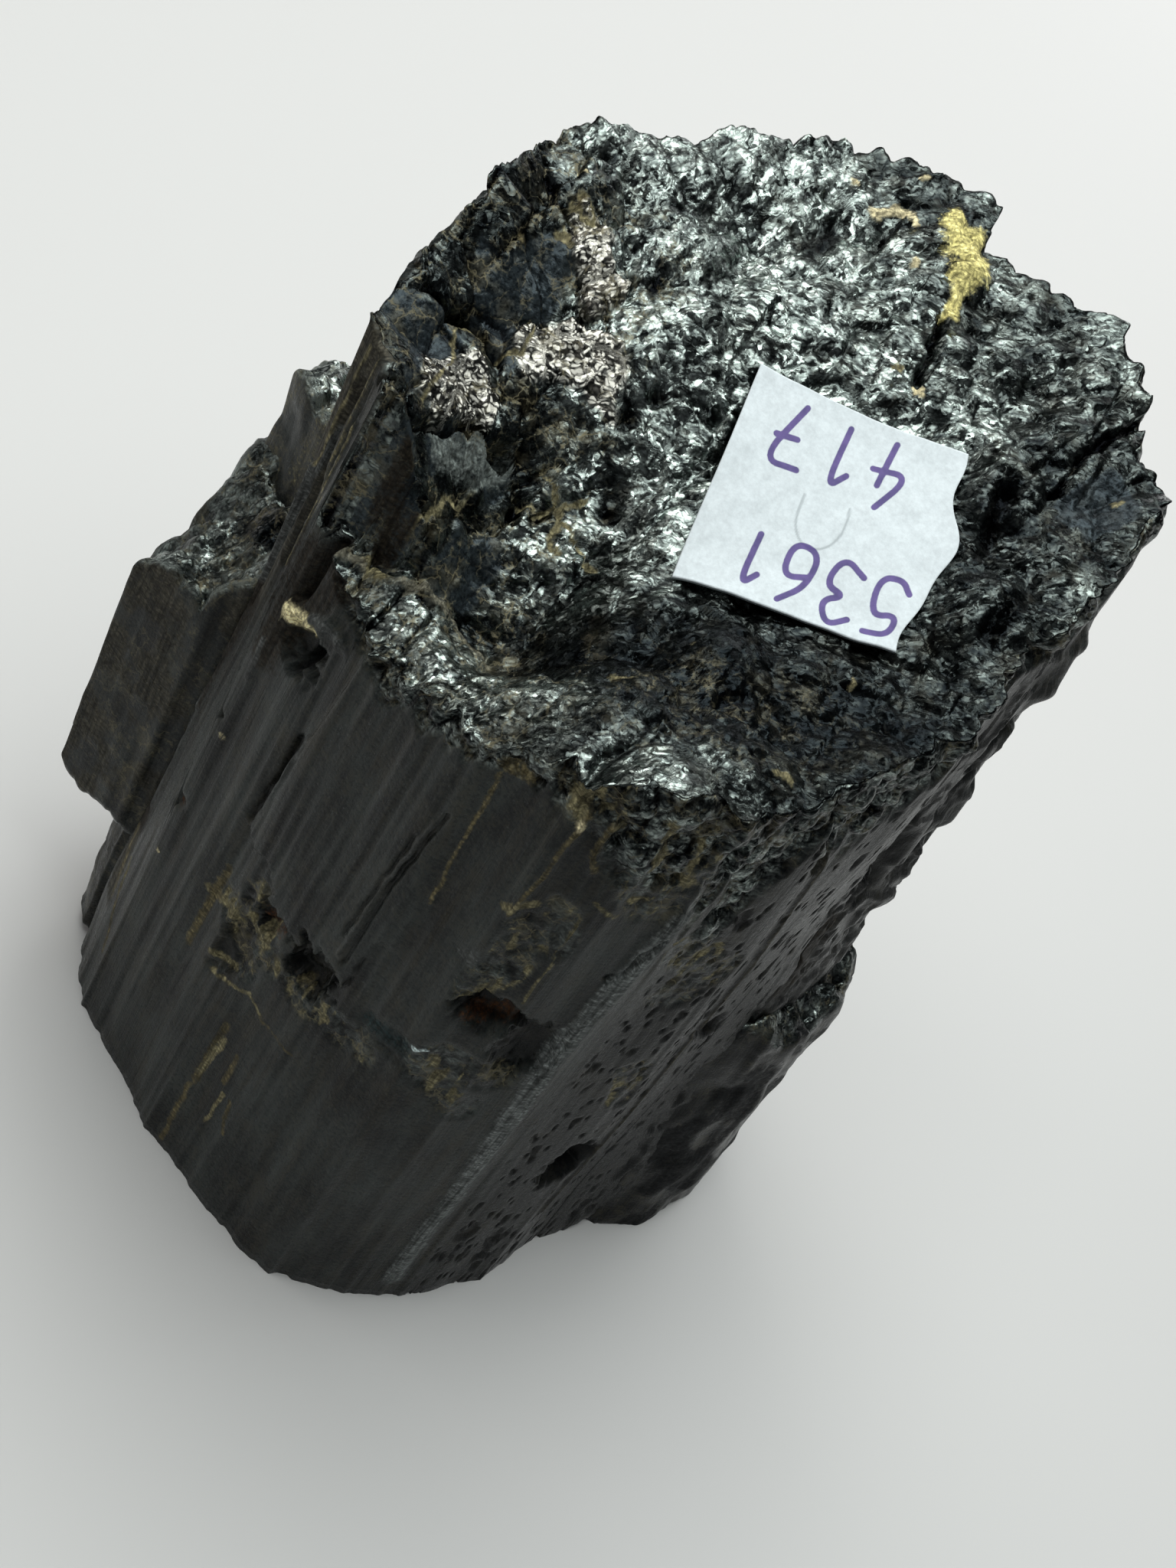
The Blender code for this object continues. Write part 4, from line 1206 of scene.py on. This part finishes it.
# A smaller crystal: a five or seven sided section carried up between two sloping broken ends, made as two
# square caps and the walls between them
def makeSideCrystal(name, corners, ends, slope, shine, stain, stained, rough, under=0, lean=0, pittedAndShaded=0.2):
    corners = np.array(corners, float)
    middle = corners.mean(axis=0)
    columns = 4 * sideShape["cells"]
    turns = cornerTurns([corners], columns)
    around = np.linalg.norm(np.diff(np.vstack([corners, corners[:1]]), axis=0), axis=1).sum()
    seed = 200 + 17 * (list(sideCrystals).index(name))

    # Heights of the lower and the upper end at each place in plan
    def ended(x, y):
        flat = stacked(x, y)
        upper = ends[1] + slope[0] * (x - corners[2, 0]) + slope[1] * (y - corners[2, 1])
        upper += 1.2 * lumps(flat, 3, 31) + grains(x, y, *sideShape["large"], seed)[0] - 0.6
        upper += 1.4 * grains(x, y, *sideShape["small"], seed + 5)[0]
        lower = ends[0] + under * (x - corners[2, 0]) + 1.5 * lumps(flat, 4, 32)
        if ends[0] > 0:
            lower -= grains(x, y, *sideShape["lower"], seed + 9)[0]
        return lower, upper

    # Places on a cap or on the walls, from the turn, how far out and how far up they lie
    def placed(turn, ring, share, cap):
        x, y = outlinePoints(corners, turns, turn)
        x = middle[0] + (x - middle[0]) * ring
        y = middle[1] + (y - middle[1]) * ring
        lower, upper = ended(x, y)
        height = np.maximum(lower + share * (upper - lower), 0)
        points = stacked(x + lean * height / ends[1], y, height)
        edge = np.minimum(np.minimum(share, 1 - share) * (upper - lower) / sideShape["edge"], 1)
        relief = grooves(turn * around / perimeter, height, sideShape["grooveWidth"], seed + 1, 14)
        relief *= sideShape["grooveDepth"]
        relief += 0.5 * rough * manyLumps(points, (3, 3, 7), seed + 2) - sideShape["worn"] * (1 - edge) ** 2
        relief += rough * (0.4 * grains(turn * around, height, *sideShape["wall"], seed + 3)[0] - 0.3)
        relief = np.where(cap, -sideShape["worn"], relief)
        outX, outY = x - middle[0], y - middle[1]
        reach = np.maximum(np.hypot(outX, outY), 0.5)
        points[..., 0] += outX / reach * relief * ring
        points[..., 1] += outY / reach * relief * ring
        # painted shade: the lower end's breaks shine less, as they face the floor
        lowerEndShade = 1 if share.any() else 0.3
        patchy = smoothStep(-0.5, 0.3, manyLumps(points, (3, 3, 5), seed + 4))
        return points, {
            "broken": np.where(cap, 1.0, smoothStep(0.9, 0.2, edge)),
            "grain": stacked(np.where(cap, x, turn * around), np.where(cap, y, height), relief),
            "shine": lowerEndShade * np.clip(shine + 0.4 * manyLumps(points, 4, 48), 0, 1),
            "stain": np.broadcast_to(stains[stain][0], points.shape).copy(),
            "stained": stained * patchy * (0.6 if cap else 1),
            "veined": np.full_like(turn, 0.9 if cap else 0.7 - 0.55 * rough),
            "pittedAndShaded": np.full_like(turn, pittedAndShaded),
            "layer": np.ones_like(turn),
        }

    a, b, ring = squareGrid(sideShape["cells"])
    turn = squareTurn(a, b)
    share = np.linspace(0, 1, sideShape["rows"] + 1)[1:-1]
    wallTurn, wallShare = np.meshgrid(np.arange(columns) / columns, share, indexing="xy")
    parts = [placed(turn, ring, np.full_like(turn, end), True) for end in (1, 0)]
    parts.append(placed(wallTurn, np.ones_like(wallTurn), wallShare, False))
    points = np.vstack([part[0].reshape(-1, 3) for part in parts])
    attributes = {}
    for key, first in parts[0][1].items():
        attributes[key] = np.concatenate([part[1][key].reshape(-1, *first.shape[2:]) for part in parts])
    return meshObject(name, points, boxQuads(sideShape["cells"], len(share)), attributes)


for name, values in sideCrystals.items():
    pieces.append(makeSideCrystal(name, **values))
print("side crystals made")


# Materials

# A new material and the means to build it: an input given as a socket is linked, and any other is set
class Nodes:
    def __init__(self, name):
        self.material = bpy.data.materials.new(name)
        self.material.use_nodes = True
        self.tree = self.material.node_tree
        # millimetres on the object's own axes
        self.place = self.stretched(self.add("TexCoord", {}).outputs["Object"], (1000, 1000, 1000))

    def feed(self, node, inputs):
        for key, value in inputs.items():
            if isinstance(value, bpy.types.NodeSocket):
                self.tree.links.new(value, node.inputs[key])
            else:
                node.inputs[key].default_value = value

    def add(self, kind, inputs, **values):
        node = self.tree.nodes.new("ShaderNode" + kind)
        for key, value in values.items():
            setattr(node, key, value)
        self.feed(node, inputs)
        return node

    def attribute(self, name, output="Fac"):
        return self.add("Attribute", {}, attribute_name=name).outputs[output]

    def math(self, operation, first, second):
        return self.add("Math", {0: first, 1: second}, operation=operation).outputs[0]

    def times(self, first, *others):
        for other in others:
            first = self.math("MULTIPLY", first, other)
        return first

    def mix(self, share, *colours):
        inputs = {0: share}
        for key, colour in zip((6, 7), colours):
            inputs[key] = colour if isinstance(colour, bpy.types.NodeSocket) else (*colour, 1)
        return self.add("Mix", inputs, data_type="RGBA").outputs[2]

    # low and high become toLow and toHigh, and values beyond them are held there
    def range(self, value, low, high, toLow=0.0, toHigh=1.0):
        inputs = {"Value": value, "From Min": low, "From Max": high, "To Min": toLow, "To Max": toHigh}
        return self.add("MapRange", inputs, clamp=True).outputs["Result"]

    def stretched(self, vector, scale):
        return self.add("Mapping", {"Vector": vector, "Scale": scale}).outputs[0]

    # the scale is one number, or three for stretched noise
    def noise(self, vector, scale, detail=3.0, roughness=0.6, output="Fac"):
        if isinstance(scale, tuple):
            vector, scale = self.stretched(vector, scale), 1.0
        inputs = {"Vector": vector, "Scale": scale, "Detail": detail, "Roughness": roughness}
        return self.add("TexNoise", inputs).outputs[output]

    def vector(self, operation, first, second=(0, 0, 0)):
        key = "Scale" if operation == "SCALE" else 1
        return self.add("VectorMath", {0: first, key: second}, operation=operation).outputs[0]

    # cells of a stretched place that a noise pushes aside
    def cells(self, vector, scale, noise, far, feature="F1"):
        pushed = self.vector("ADD", self.stretched(vector, scale), self.vector("SCALE", noise, far))
        return self.add("TexVoronoi", {"Vector": pushed, "Scale": 1.0}, feature=feature).outputs

    # a direction of each cell's own, from its colour
    def tilt(self, colour, far):
        return self.vector("SCALE", self.vector("SUBTRACT", colour, (0.5, 0.5, 0.5)), far)

    def finish(self, inputs):
        self.feed(self.tree.nodes["Principled BSDF"], inputs)
        return self.material


stone = {
    "black": (0.008, 0.0088, 0.009),
    "wallGrey": (0.04, 0.047, 0.045),
    "streak": (0.045, 0.042, 0.034),
    "tinge": (0.042, 0.035, 0.022),
    "glintSpeck": (0.1, 0.11, 0.11),
    "plateBlue": (0.043, 0.056, 0.064),
    "dust": (0.2, 0.177, 0.108),
    "glint": (0.67, 0.77, 0.72),
    "copper": (0.93, 0.9, 0.8),
    "paintedSparkle": (1.0, 0.98, 0.88),
    "gap": (0.005, 0.0066, 0.008),
    "creaseShadeColour": (0.0015, 0.0015, 0.002),
    # flakes too small for the mesh: how many to a millimetre each way, how far pushed aside, and tilt
    "flakes": ((1.0, 1.9, 1.0), 2.4, 0.45),
    "crumbs": ((1.8, 3.8, 2.4), 4.5, 0.38),
    "warmTilt": 1.35,  # the warm spots' flakes are tilted this many times as far
    "striation": (0.1, 0.04),  # height of the striation off and on the raised layer, in mm
    "gritHeight": 0.05,
    "veins": 0.8,  # strength of the net of thin tan veins
    "film": 0.5,  # strength of the film of tan dust
    "roughness": (0.2, 0.38),
    "dustRoughness": 0.35,  # added where dust, marks or the painted sparkles cover the stone
    "refraction": 1.5,
    "specular": 0.08,
}


# The stone: satin fluted walls and a glittering break, mixed by the attribute broken
def makeStone(values):
    nodes = Nodes("black tourmaline")
    place, ranged, times, mix, noise = nodes.place, nodes.range, nodes.times, nodes.mix, nodes.noise
    grain = nodes.attribute("grain", "Vector")
    names = ("broken", "creaseShade", "shine", "warm", "plates", "stained", "veined", "layer", "pittedAndShaded")
    given = {name: nodes.attribute(name) for name in names}
    flaky = times(given["broken"], ranged(given["plates"], 0, 0.8, 1, 0.5))

    # flakes too small for the mesh: long cells along the ripples and small round ones, each turned its way
    wobble = noise(place, 0.8, 1.0, output="Color")
    flakeScale, flakePush, flakeTilt = values["flakes"]
    crumbScale, crumbPush, crumbTilt = values["crumbs"]
    flakes = nodes.cells(grain, flakeScale, wobble, flakePush)
    crumbs = nodes.cells(grain, crumbScale, wobble, crumbPush)
    tilt = nodes.vector("ADD", nodes.tilt(flakes["Color"], flakeTilt), nodes.tilt(crumbs["Color"], crumbTilt))
    tilt = nodes.vector("SCALE", tilt, times(flaky, ranged(given["warm"], 0, 1, 1, values["warmTilt"])))
    grit = noise(place, 2.4)
    whole = nodes.math("SUBTRACT", 1.0, given["broken"])
    striation = noise(grain, (3.2, 0.05, 0.6), 4.0, 0.7)
    striation = times(striation, whole, ranged(given["layer"], 0, 1, *values["striation"]))
    height = nodes.math("ADD", striation, times(grit, values["gritHeight"]))
    bump = nodes.add("Bump", {"Height": height, "Distance": millimetre, "Strength": 1.0}).outputs[0]
    normal = nodes.vector("NORMALIZE", nodes.vector("ADD", bump, tilt))

    # colour of the walls: grey patches, pale streaks along the striation, a warm tinge, fine grey specks that
    # are painted glints, and painted shade over the pitted right faces
    patches = noise(grain, (0.3, 0.07, 0.2), 4.0, 0.65)
    streaks = ranged(noise(grain, (1.6, 0.03, 0.3), 4.0, 0.7), 0.58, 0.72)
    streaks = times(streaks, ranged(patches, 0.4, 0.6, 0.1, 0.5), ranged(given["layer"], 0, 1, 0.8, 0.22))
    tinge = noise(grain, (0.5, 0.05, 0.2), 5.0, 0.7)
    glintSpecks = ranged(noise(grain, (4.2, 2.4, 2), 2.0, 0.8), 0.6, 0.75, 0, 0.5)
    wall = mix(ranged(patches, 0.35, 0.65), values["black"], values["wallGrey"])
    for share, name in (
        (streaks, "streak"),
        (ranged(tinge, 0.5, 0.68, 0, 0.45), "tinge"),
        (ranged(grit, 0.5, 0.68, 0, 0.45), "streak"),
        (ranged(grit, 0.48, 0.35, 0, 0.5), "black"),
        (times(glintSpecks, ranged(given["layer"], 0, 1, 0.3, 1.0)), "glintSpeck"),
        # painted shade: nearly black over the pitted right faces and the low right crystal
        (ranged(given["pittedAndShaded"], 0, 1, 0, 0.95), "black"),
    ):
        wall = mix(share, wall, values[name])

    # colour of the break: bright flakes with painted highlight and painted shade by zone, painted shade
    # towards their edges and in the creases, and warm sparkles that are painted glints
    away = crumbs["Distance"]
    own = nodes.add("SeparateColor", {"Color": crumbs["Color"]}).outputs[0]
    glow = times(ranged(away, 0.35, 0.75, 1.0, 0.3), ranged(own, 0.0, 0.8, 0.35, 1.0))
    glow = times(glow, ranged(given["shine"], 0, 1, 0.01, 1.0))
    gloom = ranged(noise(grain, (0.35, 0.75, 0.6), 3.0, 0.7), 0.4, 0.56, 0.25, 1.0)
    glow = times(glow, gloom, nodes.math("SUBTRACT", 1.0, given["creaseShade"]))
    flake = mix(glow, values["gap"], mix(given["warm"], values["glint"], values["copper"]))
    # painted glints: pale flecks in the warm spots, standing in for flashes of light
    paintedSparkle = times(given["warm"], ranged(own, 0.42, 0.5), ranged(away, 0.3, 0.55, 1, 0))
    flake = mix(paintedSparkle, flake, values["paintedSparkle"])
    plates = mix(ranged(grit, 0.3, 0.7), values["gap"], values["plateBlue"])
    flake = mix(ranged(given["plates"], 0.1, 0.6, 0, 0.9), flake, plates)
    colour = mix(given["broken"], wall, flake)
    # painted shade in the creases, pits and dark marks
    colour = mix(ranged(given["creaseShade"], 0.3, 1.0, 0, 0.9), colour, values["creaseShadeColour"])

    # tan dust: a net of thin veins, a film in patches, and the marks with ragged edges
    net = nodes.cells(place, (0.5, 0.5, 0.5), noise(place, 0.7, output="Color"), 1.1, "DISTANCE_TO_EDGE")
    dusty = noise(place, 0.3, 5.0, 0.75)
    veins = ranged(net["Distance"], 0.01, 0.06, values["veins"], 0.0)
    veins = times(veins, ranged(dusty, 0.45, 0.6), given["veined"])
    film = times(ranged(dusty, 0.5, 0.78, 0, values["film"]), ranged(given["veined"], 0, 1, 0.18, 1))
    dust = nodes.math("MAXIMUM", veins, film)
    colour = mix(dust, colour, values["dust"])
    marked = nodes.math("ADD", times(given["stained"], 0.6), noise(place, 2.2, 4.0, 0.75))
    marked = ranged(marked, 0.75, 1.1)
    upright = noise(place, (2.4, 2.4, 0.12), 3.0, 0.7)
    # the marks' colour, lighter or darker at random from crumb to crumb, with painted shade towards each
    # crumb's edge
    grainToneAndShade = times(ranged(away, 0.2, 0.8, 1.1, 0.5), ranged(own, 0.1, 0.9, 0.55, 1.25))
    grainToneAndShade = times(grainToneAndShade, ranged(upright, 0.35, 0.65, 0.5, 1.8))
    colour = mix(marked, colour, nodes.vector("SCALE", nodes.attribute("stain", "Color"), grainToneAndShade))

    covered = nodes.math("MAXIMUM", nodes.math("MAXIMUM", dust, marked), paintedSparkle)
    roughness = ranged(grit, 0.3, 0.7, *values["roughness"])
    return nodes.finish({
        "Base Color": colour,
        "Metallic": times(flaky, nodes.math("SUBTRACT", 1.0, covered)),
        "Roughness": nodes.math("ADD", roughness, times(covered, values["dustRoughness"])),
        "Normal": normal,
        "IOR": values["refraction"],
        "Specular IOR Level": values["specular"],
    })


stoneMaterial = makeStone(stone)
for piece in pieces:
    piece.data.materials.append(stoneMaterial)
    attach(piece, "root")
    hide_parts("crystal")
print("stone material made")


# The label

# Plain handwritten digits: each stroke's points on a unit square, rounded off when drawn
digits = {
    "1": (((0.15, 0.7), (0.55, 1), (0.45, 0)),),
    "3": (((0.05, 0.9), (0.6, 1.15), (0.95, 0.7), (0.3, 0.52), (1, 0.42), (0.7, -0.15), (0, 0.1)),),
    "4": (((0.6, 1), (0, 0.35), (0.95, 0.42)), ((0.72, 0.65), (0.6, -0.05))),
    "5": (((0.9, 1), (0.2, 0.98), (0.12, 0.55), (0.85, 0.7), (0.95, 0), (0.3, -0.1), (0, 0.12)),),
    "6": (((0.75, 1), (0.1, 0.6), (0, -0.05), (0.85, -0.1), (0.85, 0.55), (0.1, 0.42)),),
    "7": (((0, 0.93), (0.95, 1), (0.3, 0)), ((0.25, 0.5), (0.8, 0.55))),
}

# What is written on the label, upside down: the digits, where the first one's foot lies, and their size
writing = {
    "rows": (("417", (5.6, 7.4), 5.4), ("5361", (8.6, -3.4), 4.6)),
    "widthShare": 0.6,
    "stepShare": 0.82,
    "pen": 0.3,
    # the pressed curved line near the middle, drawn only as painted shade
    "dentShade": ((-1.9, 0.9), (-1.9, -1.6), (-0.6, -3.2), (1.2, -2.8), (2.1, -1), (1.9, 1.2)),
    "dentWidth": 0.1,
}


# A line with its corners cut a few times, so that it runs round
def rounded(line, times=3):
    line = np.array(line, float)
    for _ in range(times):
        cut = np.stack([0.75 * line[:-1] + 0.25 * line[1:], 0.25 * line[:-1] + 0.75 * line[1:]], axis=1)
        line = np.vstack([line[:1], cut.reshape(-1, 2), line[-1:]])
    return line


# How strong the ink is at each place on the label
def inkShare(places):
    ink = np.zeros(places.shape[:-1])
    for text, foot, size in writing["rows"]:
        for index, digit in enumerate(text):
            left = foot[0] - index * size * writing["stepShare"]
            for stroke in digits[digit]:
                line = rounded(stroke) * (-size * writing["widthShare"], -size) + (left, foot[1])
                ink = np.maximum(ink, nearLine(places, line, writing["pen"]))
    return ink


# The label: a sheet that follows the smooth top a little above it, with one edge that bulges, closed below
def makeLabel():
    a, b, ring = squareGrid(label["cells"])
    bulge = label["bulge"] * np.exp(-(((b - 0.02) / 0.45) ** 2)) + 0.25 * np.sin(9 * b)
    across = a * label["width"] / 2 + bulge * smoothStep(0, 1, a)
    along = b * label["length"] / 2
    turn = np.radians(label["turn"])
    x = label["middle"][0] + across * np.cos(turn) - along * np.sin(turn)
    y = label["middle"][1] + across * np.sin(turn) + along * np.cos(turn)
    waves = sum(high * lumps(stacked(x, y), size, seed) for high, size, seed in label["waves"])
    lower = topForm(x, y) + label["rise"] - label["curl"] + label["curl"] * ring + waves
    points = [stacked(x, y, height).reshape(-1, 3) for height in (lower + label["thickness"], lower)]
    places = stacked(across, along).reshape(-1, 3)
    ink = inkShare(places)
    dentShade = nearLine(places, rounded(writing["dentShade"]), writing["dentWidth"])
    attributes = {"ink": np.append(ink, 0 * ink), "dentShade": np.append(dentShade, 0 * dentShade)}
    return meshObject("paper_sheet", np.vstack(points), boxQuads(label["cells"]), attributes)


paper = {
    "colour": (0.65, 0.71, 0.74),
    "lightAndDark": (1.08, 0.86),
    "ink": (0.09, 0.045, 0.24),
    "inkDeep": (0.045, 0.02, 0.16),
    "dentShade": (0.33, 0.37, 0.39),
    "roughness": 0.85,
    "fibreHeight": 0.03,
}


# Mottled white paper with purple pen strokes, and painted shade along a pressed line
def makePaper(values):
    nodes = Nodes("white paper")
    fibre = nodes.noise(nodes.place, 2.6, 5.0, 0.7)
    mottle = nodes.noise(nodes.place, 0.8, 2.0)
    light, dark = (tuple(share * part for part in values["colour"]) for share in values["lightAndDark"])
    shade = nodes.math("ADD", nodes.times(fibre, 0.7), nodes.times(mottle, 0.5))
    colour = nodes.mix(nodes.range(shade, 0.42, 0.75), dark, light)
    colour = nodes.mix(nodes.times(nodes.attribute("dentShade"), 0.8), colour, values["dentShade"])
    ink = nodes.mix(nodes.range(mottle, 0.35, 0.65), values["inkDeep"], values["ink"])
    inked = nodes.math("ADD", nodes.attribute("ink"), nodes.times(fibre, 0.3))
    colour = nodes.mix(nodes.range(inked, 0.55, 0.8, 0, 0.92), colour, ink)
    distance = values["fibreHeight"] * millimetre
    bump = nodes.add("Bump", {"Height": fibre, "Distance": distance, "Strength": 0.5}).outputs[0]
    return nodes.finish({"Base Color": colour, "Roughness": values["roughness"], "Normal": bump})


sheet = makeLabel()
sheet.data.materials.append(makePaper(paper))
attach(sheet, "root")
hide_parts("paper_label")
print("label made")

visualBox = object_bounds()
str([[list(corner) for corner in box] for box in (cadBox, visualBox)])
